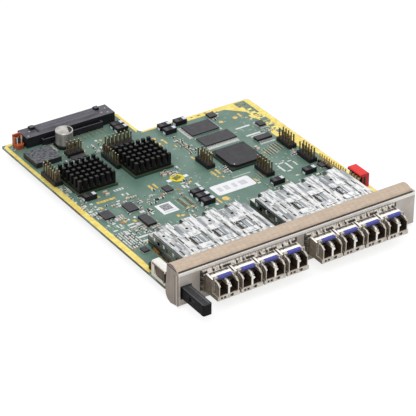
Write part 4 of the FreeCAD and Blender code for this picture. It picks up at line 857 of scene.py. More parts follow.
@dataclass
class Labels:
    """Paper labels and stickers on the board, with plain grey print."""

    thickness: float = 0.12
    ink: float = 0.01

    @staticmethod
    def outline(left: float, front: float, right: float, rear: float, radius: float) -> list[tuple]:
        """Return a rectangle's outline in the board's plane, with round corners.

        Args:
            left: Lowest x in millimetres.
            front: Lowest y.
            right: Highest x.
            rear: Highest y.
            radius: Radius of the corners.

        Returns:
            The outline's points, counter-clockwise.
        """
        centres = ((right - radius, rear - radius, 0), (left + radius, rear - radius, 90),
                   (left + radius, front + radius, 180), (right - radius, front + radius, 270))
        return [(x + radius * math.cos(turn), y + radius * math.sin(turn)) for x, y, start in centres
                for turn in (math.radians(start + step) for step in (0, 30, 60, 90))]

    def strip(self) -> None:
        """Wide label with a row of grey blocks."""
        sheet = Shaper()
        sheet.section(self.outline(-1.5, 72.4, 23.6, 83.0, 1.4), 0.0, self.thickness, Axis.Z, 0)
        for x, width in ((2.6, 2.6), (7.0, 3.0), (12.0, 2.2), (17.6, 4.4)):
            sheet.plate(x, 77.8, width, 4.4, self.thickness, self.thickness + self.ink, 1)
        sheet.piece("label_strip", [PAPER, PRINT])

    def square(self) -> None:
        """Square label with a code square."""
        sheet = Shaper()
        sheet.slab((-37.0, 72.0, 0.0), (-27.2, 82.4, self.thickness), 0, self.thickness / 3)
        sheet.slab((-34.9, 75.2, self.thickness), (-29.0, 81.2, self.thickness + self.ink), 1)
        sheet.slab((-35.6, 73.2, self.thickness), (-28.6, 74.2, self.thickness + self.ink), 2)
        sheet.piece("label_square", [PAPER, CODE, PRINT])

    def round_sticker(self) -> None:
        """Round sticker on a narrow strip."""
        sheet = Shaper()
        sheet.slab((-17.0, 99.6, 0.0), (-3.6, 102.0, self.thickness), 0, self.thickness / 3)
        top = 3 * self.thickness
        sheet.rod((-10.4, 101.0, self.thickness), (-10.4, 101.0, top), 4.1, 32, 1, 0.06)
        sheet.slab((-13.1, 99.3, top), (-8.0, 102.8, top + self.ink), 2, 0.0, 20.0)
        sheet.piece("sticker_round", [PAPER, YELLOW, STICKER_PRINT])

    def edge_code(self) -> None:
        """Dark code square in the rear right corner."""
        sheet = Shaper()
        sheet.slab((63.4, 149.4, 0.02), (69.2, 155.2, 0.14), 0, 0.03)
        sheet.piece("code_square", [LASER])

    def build(self) -> None:
        """Build every label."""
        self.strip()
        self.square()
        self.round_sticker()
        self.edge_code()


@dataclass
class ChipParts:
    """Small two-terminal parts: ceramic and resistor chips with tinned end caps."""

    seed: int = 7
    cap_share: float = 0.24
    body_share: float = 0.98
    cap_t: float = 0.04
    row_x: float = 1.5
    row_y: float = 2.3
    fields: tuple = (
        (-70.6, -66.0, 84.0, 126.0, 40, "y"), (-60.0, -52.0, 60.0, 69.0, 26, "y"),
        (-66.0, -56.0, 79.0, 84.0, 20, "y"), (-47.0, -40.0, 76.0, 92.0, 26, "y"),
        (-14.0, -4.0, 104.0, 110.0, 12, "y"),
        (-66.0, -40.0, 92.0, 98.0, 18, "x"), (-54.0, -40.0, 80.0, 92.0, 10, "y"),
        (-50.0, -40.0, 54.0, 66.0, 16, "y"), (-40.0, -24.0, 84.0, 96.0, 16, "x"),
        (-22.0, -4.0, 84.0, 98.0, 14, "x"), (-26.0, -14.0, 56.0, 70.0, 18, "y"),
        (10.2, 14.6, 118.0, 142.0, 18, "x"), (14.5, 18.8, 86.0, 98.0, 12, "y"),
        (58.0, 64.0, 86.0, 94.0, 10, "y"),
        (-55.0, -49.0, 146.0, 170.0, 20, "y"), (-34.0, -26.0, 142.0, 158.0, 12, "y"),
        (58.0, 66.0, 116.0, 122.0, 8, "x"), (42.0, 50.0, 143.0, 152.0, 6, "x"),
        (26.0, 32.0, 60.0, 70.0, 6, "y"), (56.0, 66.0, 56.0, 66.0, 12, "x"),
    )
    large: tuple = (
        (-52.0, 107.3, 2.4, 3.6), (-15.0, 107.7, 2.2, 3.4), (45.0, 104.0, 1.8, 3.4), (-11.6, 107.0, 1.6, 2.8),
    )
    grid: tuple = (-69.4, -61.4, 1.6, 52.6, 68.6, 1.9)

    def __post_init__(self) -> None:
        """Start with an empty mesh and the chips' dice."""
        self.shaper, self.dice = Shaper(), random.Random(self.seed)

    def chip(self, x: float, y: float, size: Point, along_y: bool, slot: int) -> None:
        """Add one chip with its end caps.

        Args:
            x: Centre.
            y: Centre.
            size: Length, width and height.
            along_y: True where the long side lies along Y.
            slot: Slot of the ceramic.
        """
        shaper = self.shaper
        length, width, height = size
        cap = length * self.cap_share
        span_x, span_y = (width, length) if along_y else (length, width)
        shaper.plate(x, y, span_x * self.body_share, span_y * self.body_share, 0.0, height, slot)
        for shift in spaced(0.0, 2, length - cap):
            if along_y:
                shaper.plate(x, y + shift, width, cap, 0.0, height + self.cap_t)
            else:
                shaper.plate(x + shift, y, cap, width, 0.0, height + self.cap_t)

    def build(self) -> None:
        """Set the close grid of chips, scatter the others over their fields, and add the large ones."""
        dice = self.dice
        left, right, step_x, front, rear, step_y = self.grid
        for column in range(int((right - left) / step_x) + 1):
            for row in range(int((rear - front) / step_y) + 1):
                self.chip(left + column * step_x, front + row * step_y, (1.7, 0.75, 0.4), True,
                          dice.choice((0, 0, 4, 4, 3)))
        for left, right, front, rear, count, way in self.fields:
            taken = set()
            for _ in range(count):
                x = round(dice.uniform(left, right) / self.row_x) * self.row_x
                y = round(dice.uniform(front, rear) / self.row_y) * self.row_y
                if (x, y) in taken:
                    continue
                taken.add((x, y))
                size = dice.choice(((1.6, 0.8, 0.5), (2.0, 1.1, 0.7), (2.0, 1.25, 0.7), (1.2, 0.7, 0.4)))
                self.chip(x, y, size, way == "y", dice.choice((0, 1, 2, 2, 3, 4)))
        for x, y, width, length in self.large:
            self.chip(x, y, (length, width, 1.2), True, 1)
        self.shaper.piece("chip_components", [TIN, CERAMIC, NYLON, EPOXY, PALE_CERAMIC])


@dataclass
class ResistorNetworks:
    """Close columns of small brown joints between pale ink lines."""

    blocks: tuple = (
        (-20.2, 77.6, 2, 8, 3.9), (49.4, 98.0, 3, 7, 1.9), (55.4, 100.4, 3, 7, 1.9),
        (12.4, 130.0, 2, 14, 1.7), (30.6, 78.8, 2, 5, 1.7),
    )
    pitch: float = 1.15

    def build(self) -> None:
        """Build each block of joints."""
        shaper = Shaper()
        for x, y, columns, rows, column_pitch in self.blocks:
            for line in spaced(x, columns + 1, column_pitch):
                shaper.plate(line, y, 0.28, rows * self.pitch, 0.0, 0.03, 1)
            half = min(0.8, column_pitch * 0.25)
            for centre in spaced(x, columns, column_pitch):
                for place in spaced(y, rows, self.pitch):
                    shaper.plate(centre, place, 2 * half, 0.6, 0.0, 0.28, 0, 0.06)
                    shaper.plate(centre + half + 0.15, place, 0.3, 0.56, 0.0, 0.2, 2)
        shaper.piece("resistor_networks", [JOINT, INK, TIN])


@dataclass
class TantalumCaps:
    """Tinned ends and polarity stripes of the moulded capacitors, with a painted highlight on the right ends.
    """

    wrap: float = 0.12
    end: float = 1.9
    length: float = 7.3
    top: float = 2.9
    centres: tuple = (
        (-8.25, 163.4), (-8.25, 168.2), (13.75, 152.3), (13.75, 146.5), (24.25, 152.2), (-62.25, 108.0),
        (-10.45, 80.6), (-10.45, 75.3), (-10.45, 70.0), (33.25, 67.0), (54.75, 67.2),
    )

    def build(self) -> None:
        """Fold a tinned cap round both ends of every capacitor."""
        shaper = Shaper()
        wrap, top = self.wrap, self.top
        for x, y in self.centres:
            left, right = x - self.length / 2, x + self.length / 2
            # The right end's cap reaches over the top as a painted highlight.
            shaper.slab((right - self.end, y - 1.4, 0.3), (right + wrap, y + 1.4, top + wrap), 0, 0.1)
            shaper.slab((left - wrap, y - 1.2, 0.0), (left + 0.5, y + 1.2, 1.3), 0, 0.08)
            shaper.slab((left + 0.5, y - 1.85, top), (left + 2.6, y + 1.85, top + 0.03), 1)
        shaper.piece("capacitor_ends", [SOLDER_AND_HIGHLIGHT, STRIPE])


@dataclass
class CageRoof:
    """Stamped detail of one cage: crowns and folds of the roof, tabs in the windows over the dividers, and
    tabs of the left wall.
    """

    node: str
    bays: int = 4
    pitch: float = 14.25
    wall: float = 0.3
    roof: float = 9.8
    step_y: float = 47.0
    seed: int = 5
    reflection_mark_count: int = 26
    window_front: float = 19.0
    window_rear: float = 37.0
    window_x: float = 7.1
    window_half: float = 4.6
    crowns: tuple = (
        (5.4, 36.6, 46.6, 1.7, 0.4), (5.2, 24.6, 31.6, 1.2, 0.3), (9.6, 12.0, 48.6, 2.1, 0.5),
        (12.4, 12.0, 19.0, 1.3, 0.35), (2.4, 12.0, 19.0, 1.6, 0.35), (5.6, 12.0, 19.0, 1.6, 0.4),
        (7.0, 40.6, 49.4, 0.9, 0.35), (11.3, 44.0, 50.4, 0.8, 0.3),
    )
    folds: tuple = (
        (7.7, 20.0, 22.4, 0.9), (7.7, 23.6, 27.8, 0.45), (7.7, 29.0, 35.0, 0.9), (11.4, 30.0, 34.0, 0.7),
        (11.4, 20.0, 22.4, 0.7), (10.0, 40.6, 41.5, 0.8), (4.6, 38.6, 39.6, 0.5), (6.3, 12.6, 17.4, 0.3),
        (8.3, 36.4, 38.4, 0.5), (12.2, 24.8, 29.4, 0.35), (3.6, 13.0, 17.0, 0.3),
    )
    greys: tuple = (
        (12.6, 36.2, 46.4, 1.9), (1.4, 36.2, 39.2, 1.6), (8.2, 42.0, 46.0, 0.8), (10.9, 12.6, 18.6, 0.6),
        (6.9, 44.4, 50.2, 0.4), (3.5, 24.6, 31.4, 1.1), (1.0, 12.4, 18.4, 0.9), (10.6, 47.6, 50.4, 0.5),
    )

    def __post_init__(self) -> None:
        """Start with an empty mesh and the dice of the painted reflection marks."""
        self.shaper, self.dice = Shaper(), random.Random(self.seed)

    def crown(self, x: float, front: float, rear: float, width: float, rise: float) -> None:
        """Add a rounded ridge that runs along Y.

        Args:
            x: Middle.
            front: Front end.
            rear: Rear end.
            width: Width at the roof.
            rise: Height above the roof.
        """
        half = width / 2
        outline = [(x - half, self.roof), (x - half * 0.7, self.roof + rise * 0.75),
                   (x - half * 0.3, self.roof + rise), (x + half * 0.3, self.roof + rise),
                   (x + half * 0.7, self.roof + rise * 0.75), (x + half, self.roof)]
        self.shaper.section(outline, front, rear, Axis.Y)

    def bay(self, left: float) -> None:
        """Add one bay's crowns, folds in painted shade, and flats of painted grey reflection.

        Args:
            left: The bay's left divider.
        """
        shaper, roof = self.shaper, self.roof
        for offset, front, rear, width, rise in self.crowns:
            self.crown(left + offset, front, rear, width, rise)
        # Flats of painted grey reflection and folds in painted shade.
        for slot, rise, table in ((1, 0.08, self.greys), (2, 0.1, self.folds)):
            for offset, front, rear, width in table:
                x, y = left + offset, (front + rear) / 2
                shaper.plate(x, y, width, rear - front, roof, roof + rise, slot, 0.03)
        shaper.slab((left + 3.8, 42.8, roof), (left + 4.5, self.step_y - 0.2, roof + 0.3), 0, 0.1)
        gusset = [(left + 2.6, 35.8), (left + 4.8, 35.8), (left + 2.6, 39.4)]
        shaper.section(gusset, roof, roof + 0.16, Axis.Z)

    def painted_reflection_marks(self, left: float) -> None:
        """Scatter short marks of painted reflection and painted shade along one bay.

        Args:
            left: The bay's left divider.
        """
        shaper, dice = self.shaper, self.dice
        for _ in range(self.reflection_mark_count):
            x, y = left + dice.uniform(0.6, self.pitch - 0.6), dice.uniform(12.4, self.step_y - 2.4)
            if self.window_front < y < self.window_rear and abs(x - left - self.window_x) < self.window_half:
                continue
            width, length = dice.choice(((0.32, 2.2), (0.4, 1.4), (0.6, 0.7), (1.0, 0.6)))
            shaper.plate(x, y, width, length, self.roof, self.roof + 0.12, dice.choice((0, 1, 1, 2)), 0.03)

    def divider(self, x: float) -> None:
        """Add the tabs in the window over a divider, one of them in painted shade, and the beads round it,
        bright with painted reflection.

        Args:
            x: Middle of the divider.
        """
        shaper, roof = self.shaper, self.roof
        shaper.slab((x - 2.6, 24.6, roof - 0.4), (x - 0.4, 31.6, roof - 0.34), 3)
        shaper.slab((x + 0.3, 24.2, roof - 0.4), (x + 2.2, 31.9, roof - 0.32), 1)
        shaper.slab((x + 0.7, 26.0, roof - 0.3), (x + 1.5, 30.6, roof - 0.1), 0, 0.05)
        for front, rear in ((19.6, 23.7), (32.5, 36.6)):
            shaper.slab((x - 2.25, front - 0.1, roof), (x + 6.45, rear + 0.1, roof + 0.45), 0, 0.12)
            shaper.slab((x + 1.6, front + 0.8, roof + 0.44), (x + 4.6, front + 1.3, roof + 0.5), 1)

    def ends(self, left: float) -> None:
        """Add the long folds of the first bay and the tabs of the left wall.

        Args:
            left: Left wall of the cage.
        """
        shaper, roof = self.shaper, self.roof
        for y in (20.0, 29.4):
            shaper.slab((left + 1.7, y, roof), (left + 2.7, y + 4.4, roof + 0.1), 2, 0.04)
        for offset in (0.5, 1.2):
            self.crown(left + offset, 12.0, self.step_y - 0.6, 0.45, 0.25)
        for y in (17.0, 26.2, 35.4, 44.4):
            shaper.slab((left - 0.14, y, 5.4), (left + 0.02, y + 1.5, 7.6), 0, 0.05)
            shaper.slab((left - 0.1, y - 1.0, 0.2), (left + 0.02, y + 2.4, 1.3), 1, 0.04)
        shaper.slab((left - 0.12, 12.0, 8.6), (left + 0.02, self.step_y - 1.0, 9.3), 1, 0.04)

    def build(self) -> None:
        """Build the cage's stampings."""
        low, _ = node_box(self.node)
        self.ends(low.x)
        for index in range(self.bays):
            left = low.x + self.wall / 2 + index * self.pitch
            self.bay(left)
            self.painted_reflection_marks(left)
            if index:
                self.divider(left)
        self.shaper.piece(self.node + "_stampings", [TIN_BRIGHT, TIN_PAINTED_GREY, TIN_SHADE, CASTING_SHADE])


@dataclass
class CollarShade:
    """Painted shade in the gaps seen through one collar's ramp, and painted highlights on the lips of its
    springs.
    """

    cage: str
    bays: int = 4
    pitch: float = 14.25
    roof: float = 9.8
    front: float = -1.4
    skin: float = 0.07

    def build(self) -> None:
        """Build the gaps over the dividers and between the springs."""
        low, high = node_box(self.cage)
        middle = (low.x + high.x) / 2
        shaper = Shaper()
        front, roof = self.front, self.roof
        for x in spaced(middle, self.bays + 1, self.pitch):
            left, right = max(x - 2.4, low.x), min(x + 2.4, high.x)
            shaper.slab((left, front, roof), (right, front + 1.5, roof + self.skin))
        for x in spaced(middle, self.bays, self.pitch):
            for offset in (-1.0, 3.1):
                shaper.plate(x + offset, front + 0.9, 1.2, 1.8, roof, roof + self.skin)
            for offset in (-3.9, 1.0, 4.6):
                shaper.plate(x + offset, front - 0.3, 1.6, 0.4, roof + 0.26, roof + 0.4, 1, 0.05)
        shaper.piece(self.cage + "_collar_gaps", [CASTING_SHADE, CASTING_HIGHLIGHT])


@dataclass
class NoseDetail:
    """Detail of one module's nose: port liners, painted highlights on its edges, centre key, painted shade in
    the gaps, and lip marks.
    """

    number: int
    port_w: float = 4.9
    rib: float = 1.2
    floor: float = 3.0
    face_top: float = 8.5
    depth: float = 9.9
    key_w: float = 3.8
    sleeve_z: float = 5.6
    sleeve_r: float = 1.2
    slope_y: float = -11.9
    slope_z: float = 10.0
    rear_y: float = -2.2
    rear_z: float = 10.9
    skin: float = 0.05

    def __post_init__(self) -> None:
        """Start with an empty mesh."""
        self.shaper = Shaper()

    def height(self, y: float) -> float:
        """Return the height of the nose's top at a place behind the slope."""
        share = (y - self.slope_y) / (self.rear_y - self.slope_y)
        return self.slope_z + share * (self.rear_z - self.slope_z)

    def strip(self, left: float, right: float, front: float, rear: float, slot: int) -> None:
        """Add a thin strip that lies on the nose's top.

        Args:
            left: Left side.
            right: Right side.
            front: Front end.
            rear: Rear end.
            slot: Material slot.
        """
        start, end, skin = self.height(front), self.height(rear), self.skin
        outline = [(front, start), (rear, end), (rear, end + skin), (front, start + skin)]
        self.shaper.section(outline, left, right, Axis.X, slot)

    def slope(self, left: float, right: float, front: float, rear: float, slot: int) -> None:
        """Add a thin strip over the front slope and on to a place behind it.

        Args:
            left: Left side.
            right: Right side.
            front: Foot of the slope.
            rear: Rear end.
            slot: Material slot.
        """
        foot, end, skin = self.face_top - 0.1, self.height(rear), self.skin
        outline = [(front, foot), (self.slope_y, self.slope_z), (rear, end), (rear, end + skin),
                   (self.slope_y - skin, self.slope_z + skin), (front - skin, foot)]
        self.shaper.section(outline, left, right, Axis.X, slot)

    def ports(self, x: float, front: float) -> None:
        """Line both ports with dark polymer that is also painted shade, and add the sleeve inside.

        Args:
            x: Middle of the nose.
            front: Front face of the nose.
        """
        shaper, skin, floor, top = self.shaper, self.skin, self.floor, self.face_top
        start, end, height = front + 0.5, front + self.depth, self.sleeve_z
        for centre in spaced(x, 2, self.rib + self.port_w):
            left, right = centre - self.port_w / 2, centre + self.port_w / 2
            shaper.slab((left, start, floor), (right, end, floor + skin))
            shaper.slab((left, start, floor), (left + skin, end, top))
            shaper.slab((right - skin, start, floor), (right, end, top))
            shaper.slab((left, end - 0.4, floor), (right, end, top))
            shaper.rod((centre, end, height), (centre, front + 4.5, height), self.sleeve_r, bevel=0.1)
            shaper.plate(centre, front + 5.2, self.key_w, 1.6, top - 1.2, top - 0.2)

    def build(self) -> None:
        """Build the nose's pieces."""
        low, high = node_box(f"module_{self.number}")
        x, front, left, right = (low.x + high.x) / 2, low.y, low.x, high.x
        shaper = self.shaper
        self.ports(x, front)
        # Painted highlights on the centre key and the edges, painted shade beside the key and on the well
        # floor.
        self.slope(x - 0.5, x + 0.5, front, front + 5.9, 2)
        for side in (-1, 1):
            edges = sorted((x + side * 0.62, x + side * 1.05))
            self.slope(edges[0], edges[1], front, front + 4.6, 4)
        self.slope(left + 0.8, left + 1.15, front, front + 5.0, 2)
        self.slope(right - 1.1, right - 0.8, front, front + 5.0, 1)
        self.strip(left + 0.05, left + 1.0, -8.1, -2.4, 2)
        self.strip(left + 1.4, right - 0.2, -6.4, -4.7, 2)
        self.strip(left + 1.0, left + 1.4, -8.6, -6.9, 4)
        self.strip(left + 1.4, left + 2.4, -7.2, -6.8, 4)
        shaper.section([(x - 0.5, self.face_top - 0.1), (x + 0.5, self.face_top - 0.1), (x + 0.5, self.floor),
                        (x - 0.5, self.floor)], front - 0.04, front + 0.4, Axis.Y, 2)
        shaper.rod((x + 0.9, front - 0.1, 7.2), (x + 0.9, front + 0.6, 7.2), 0.7, 14, 2, 0.08)
        for offset in (-4.7, -1.7, 2.4):
            shaper.plate(x + offset, -3.4, 1.1, 2.0, 9.58, 9.68, 4 if offset < 0 else 5)
        for offset in (-3.1, 0.4, 4.2):
            shaper.plate(x + offset, -3.8, 0.7, 1.0, 9.6, 9.9, 2, 0.08)
        for offset, width in ((-4.3, 1.2), (-2.3, 1.3)):
            shaper.plate(x + offset, front + 0.235, width, 0.53, 1.0, 2.2)
        shaper.rod((x + 2.1, front - 0.03, 1.65), (x + 2.1, front + 0.3, 1.65), 0.85)
        # Painted shade in the gap to the next nose.
        if self.number % 4:
            shaper.slab((right + 0.04, -7.0, 8.6), (right + 0.81, -2.5, 10.2), 4)
        shaper.piece(f"nose_detail_{self.number}",
                     [PORT_DARK_AND_SHADE, CASTING, CASTING_HIGHLIGHT, SPRING, CASTING_SHADE, TIN_PAINTED_GREY])


@dataclass
class PanelTrim:
    """Seam under the gasket, fold lines of the left end flange, and the foam's paler middle."""

    skin: float = 0.05

    def build(self) -> None:
        """Build the panel's trim."""
        low, high = node_box("front_panel")
        crown_low, crown_high = node_box("gasket_fabric")
        left = low.x
        trim = Shaper()
        seam = min(0.25, crown_low.y - 0.04)
        trim.slab((crown_low.x + 0.4, seam, high.z), (crown_high.x, 0.88, high.z + 0.6), 0, 0.05)
        for y, width, slot in ((0.5, 0.5, 1), (1.5, 0.7, 2), (3.6, 0.35, 1), (9.8, 1.0, 3)):
            trim.slab((left - self.skin, y - width / 2, -5.6), (left, y + width / 2, 12.6), slot)
        trim.piece("panel_trim", [CASTING_SHADE, FOLD_SHADE, FOLD_LIGHT, NICKEL])
        foam_low, foam_high = node_box("gasket_foam")
        middle = (foam_low.z + foam_high.z) / 2
        lens = Shaper()
        outline = [(2.2, middle - 0.1), (4.0, middle + 0.5), (7.6, middle + 0.5), (9.6, middle - 0.1),
                   (8.2, middle - 0.4), (3.6, middle - 0.4)]
        lens.section(outline, foam_low.x - self.skin, foam_low.x, Axis.X)
        lens.piece("foam_core", [FOAM_SKIN])


@dataclass
class LatchDetail:
    """Painted shade inside the latch bracket, its lower strap, and painted highlights on the pull handle's
    edges.
    """

    def bracket(self) -> None:
        """Build the bracket's inner wall and window margins in painted shade, and its pale lower strap."""
        low, high = node_box("latch_bracket")
        inside = Shaper()
        inside.slab((low.x + 0.75, low.y + 1.0, 0.2), (low.x + 0.95, high.y - 1.0, high.z - 1.0), 0)
        inside.slab((low.x - 0.03, low.y + 0.9, 0.9), (low.x + 0.75, low.y + 1.65, high.z - 1.0), 0)
        inside.slab((low.x - 0.03, low.y + 0.9, high.z - 1.65), (low.x + 0.75, high.y - 0.8, high.z - 0.9), 0)
        inside.slab((low.x + 0.55, low.y + 1.6, 1.0), (low.x + 0.74, low.y + 3.2, high.z - 2.2), 1, 0.05)
        inside.section([(high.y - 5.0, 0.2), (high.y - 1.6, 0.2), (high.y - 1.6, 4.6), (high.y - 2.6, 4.6),
                        (high.y - 3.4, 1.8), (high.y - 5.0, 1.4)], low.x + 0.5, low.x + 0.72, Axis.X, 2)
        inside.piece("latch_bracket_inside", [ZINC_SHADE, NYLON, ZINC])

    def handle(self) -> None:
        """Build the painted highlights on the handle's edges and the shadowed floor of its grip recess."""
        low, high = node_box("pull_handle")
        painted_light = Shaper()
        painted_light.slab((high.x - 1.5, low.y + 1.4, high.z), (high.x - 0.6, -0.8, high.z + 0.04), 0)
        painted_light.slab((low.x + 0.3, low.y + 1.2, high.z), (low.x + 0.7, -0.6, high.z + 0.04), 0)
        painted_light.slab((low.x + 0.78, -11.8, 1.1), (low.x + 0.84, -7.2, 3.8), 1)
        painted_light.piece("handle_painted_light", [HANDLE_HIGHLIGHT, HANDLE_RECESS], Body.HANDLE)

    def build(self) -> None:
        """Build both."""
        self.bracket()
        self.handle()


@dataclass
class ProcessorPackage:
    """Ball-grid package: dark substrate, moulded cap with clipped corners, pin-one mark."""

    inset: float = 1.7
    clip: float = 2.8
    substrate_h: float = 0.8

    def build(self) -> None:
        """Build the package in the plain chip's place."""
        low, high = node_box("processor")
        ledge, clip, inset = low.z + self.substrate_h, self.clip, self.inset
        shaper = Shaper()
        shaper.slab((low.x, low.y, low.z), (high.x, high.y, ledge), 0, 0.1)
        left, front, right, rear = low.x + inset, low.y + inset, high.x - inset, high.y - inset
        outline = [(left + clip, front), (right - clip, front), (right, front + clip), (right, rear - clip),
                   (right - clip, rear), (left + clip, rear), (left, rear - clip), (left, front + clip)]
        shaper.section(outline, ledge, high.z, Axis.Z, 1, 0.15)
        mark = [(low.x + 0.4, high.y - 0.4), (low.x + 0.4, high.y - 2.2), (low.x + 2.2, high.y - 0.4)]
        shaper.section(mark, ledge, ledge + 0.05, Axis.Z, 2)
        shaper.plate(left + 2.0, front + 1.8, 0.8, 0.8, high.z, high.z + 0.03, 3)
        made = shaper.piece("processor_package", [DARK_SUBSTRATE, CAP, PAD_GOLD, PRINT])
        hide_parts("processor")


@dataclass
class MemoryLeads:
    """Close rows of tinned leads along the memory chips, with their pads."""

    rows: tuple = (
        ((20.4, 134.0), (20.4, 147.4), 2.4), ((40.7, 134.0), (40.7, 147.4), 1.4),
        ((22.0, 118.7), (42.0, 118.7), 3.0), ((22.0, 131.7), (42.0, 131.7), 1.4),
        ((50.0, 107.2), (59.2, 107.2), 1.5), ((50.0, 116.7), (59.2, 116.7), 1.5),
        ((60.4, 122.4), (64.6, 122.4), 1.2), ((60.4, 129.7), (64.6, 129.7), 1.2),
    )
    pitch: float = 0.8
    width: float = 0.56
    height: float = 0.22

    def build(self) -> None:
        """Build every row."""
        shaper = Shaper()
        for start, end, reach in self.rows:
            size = (self.width, reach) if start[1] == end[1] else (reach, self.width)
            for spot in between(start, end, int(math.dist(start, end) / self.pitch) + 1):
                shaper.plate(*spot, *size, 0.0, self.height)
        shaper.piece("chip_leads", [TIN])


@dataclass
class RearDetail:
    """Detail of the rear connector, capacitor mark and fuse clips, with painted sheen, highlight and shade.
    """

    ledge: float = 6.5
    crown: float = 7.2
    rim_parts: int = 28

    def connector(self) -> None:
        """Build the connector's ink dots, the painted sheen along its ribs and a dark line of painted shade.
        """
        low, high = node_box("rear_connector")
        ledge, crown = self.ledge, self.crown
        shaper = Shaper()
        for x, y in ((low.x + 2.0, low.y + 4.2), (low.x + 5.0, low.y + 8.6), (high.x - 6.6, low.y + 6.0),
                     (high.x - 2.4, low.y + 9.4), (high.x - 3.4, low.y + 4.4), (high.x - 8.0, low.y + 9.6),
                     (high.x - 5.2, low.y + 11.2)):
            shaper.rod((x, y, ledge), (x, y, ledge + 0.06), 0.5, 12)
        for y in (low.y + 6.4, low.y + 9.2, low.y + 11.4):
            shaper.slab((low.x + 12.0, y, crown), (high.x - 11.0, y + 0.35, crown + 0.06), 1)
        shaper.slab((low.x + 9.5, low.y + 5.2, crown), (low.x + 10.1, high.y - 0.6, crown + 0.04), 2)
        shaper.piece("rear_connector_marks", [INK, CONNECTOR_SHEEN, PORT_DARK_AND_SHADE])

    def can(self) -> None:
        """Build the capacitor's polarity mark and the painted highlight round its rim."""
        low, high = node_box("capacitor_can")
        x, y, radius = (low.x + high.x) / 2, (low.y + high.y) / 2, (high.x - low.x) / 2
        angles = [math.radians(v) for v in range(-80, 41, 12)]
        outline = [(x + (radius - 0.6) * math.cos(a), y + (radius - 0.6) * math.sin(a)) for a in angles]
        shaper = Shaper()
        shaper.section(outline, high.z, high.z + 0.04, Axis.Z, 0)
        reach = radius - 0.25
        for index in range(self.rim_parts):
            turn = 2 * math.pi * index / self.rim_parts
            spot = (x + reach * math.cos(turn), y + reach * math.sin(turn))
            shaper.plate(*spot, 1.0, 0.32, high.z, high.z + 0.06, 1, 0.0, 90 + math.degrees(turn))
        shaper.piece("capacitor_mark", [NYLON, RIM_HIGHLIGHT])

    def fuse(self) -> None:
        """Build the painted shade inside the fuse holder and its silver clips."""
        low, high = node_box("fuse_holder")
        x, y = (low.x + high.x) / 2, (low.y + high.y) / 2
        shaper = Shaper()
        shaper.slab((low.x + 0.95, y - 0.2, 2.7), (high.x - 0.95, y + 0.1, high.z - 1.8), 0)
        for clip in spaced(x, 2, 2.6):
            shaper.plate(clip, y - 0.75, 0.3, 0.9, 2.7, high.z - 1.0, 1, 0.05)
        shaper.piece("fuse_clips", [PORT_DARK_AND_SHADE, TIN])

    def build(self) -> None:
        """Build all of them."""
        self.connector()
        self.can()
        self.fuse()


@dataclass
class LegendMarks:
    """Silk-screen ink: ticks and short plain dashes between the parts."""

    seed: int = 23
    line: float = 0.45
    rise: float = 0.03
    dashes: tuple = ((-70.6, 182.0), (-69.4, 180.6), (-70.8, 178.8), (-69.2, 177.4), (-70.4, 176.2))
    bar: tuple = (21.55, 84.85, 11.9, 0.9)
    fields: tuple = (
        (-72.0, -56.0, 50.0, 82.0, 46), (-72.0, -64.0, 90.0, 128.0, 18), (-54.0, -24.0, 54.0, 70.0, 22),
        (-40.0, -2.0, 84.0, 98.0, 20), (-24.0, 14.0, 54.0, 68.0, 20), (-4.0, 18.0, 84.0, 152.0, 34),
        (44.0, 66.0, 84.0, 104.0, 22), (26.0, 64.0, 54.0, 64.0, 16), (-56.0, -22.0, 142.0, 172.0, 22),
        (44.0, 62.0, 118.0, 144.0, 18), (24.0, 44.0, 70.0, 88.0, 12),
    )

    def build(self) -> None:
        """Print every mark."""
        dice = random.Random(self.seed)
        shaper = Shaper()
        for left, right, front, rear, count in self.fields:
            for _ in range(count):
                x, y = dice.uniform(left, right), dice.uniform(front, rear)
                length, along_x = dice.choice((0.9, 1.3, 1.8, 2.4)), dice.random() < 0.4
                size = (length, self.line) if along_x else (self.line, length)
                shaper.plate(x, y, *size, 0.0, self.rise)
        for spot in self.dashes:
            shaper.plate(*spot, 1.8, 0.56, 0.0, self.rise, 0, 0.0, 35.0)
        shaper.plate(*self.bar, 0.0, 2 * self.rise)
        shaper.piece("board_legend", [INK])


@dataclass
class SwitchBlock:
    """Bent leads and key slot of the slide-switch block."""

    leads: int = 4
    pitch: float = 2.54
    lead_w: float = 0.9
    body_w: float = 4.6

    def build(self) -> None:
        """Build the leads along the left side and the slot in the front."""
        low, high = node_box("dip_body")
        middle, wall = (low.y + high.y) / 2, high.x - self.body_w
        shaper = Shaper()
        outline = [(wall + 0.05, 6.1), (wall + 0.05, 5.0), (wall - 0.7, 4.9), (wall - 1.3, 0.2),
                   (wall - 1.9, 0.2), (wall - 1.6, 5.9)]
        for y in spaced(middle, self.leads, self.pitch):
            shaper.section(outline, y - self.lead_w / 2, y + self.lead_w / 2, Axis.Y)
        centre = (low.x + high.x) / 2
        # Painted shade in the slot in the front.
        shaper.slab((centre - 0.7, low.y - 0.05, 0.6), (centre + 0.7, low.y + 0.1, high.z - 1.8), 1)
        shaper.piece("switch_leads", [LEAD_GOLD, PORT_DARK_AND_SHADE])


@dataclass
class EdgeHeader:
    """Row of gold posts on a low base behind the right cage."""

    start: Spot = (65.9, 72.6)
    end: Spot = (67.2, 50.6)
    posts: int = 12
    height: float = 6.2
    base: Spot = (2.0, 2.2)
    base_h: float = 1.6
    post: float = 0.6

    def build(self) -> None:
        """Build the posts and their base."""
        shaper = Shaper()
        for spot in between(self.start, self.end, self.posts):
            shaper.plate(*spot, *self.base, 0.0, self.base_h, 1, 0.15)
            shaper.plate(*spot, self.post, self.post, self.base_h, self.height, 0, 0.1)
        shaper.piece("edge_header", [POST_GOLD, NYLON])


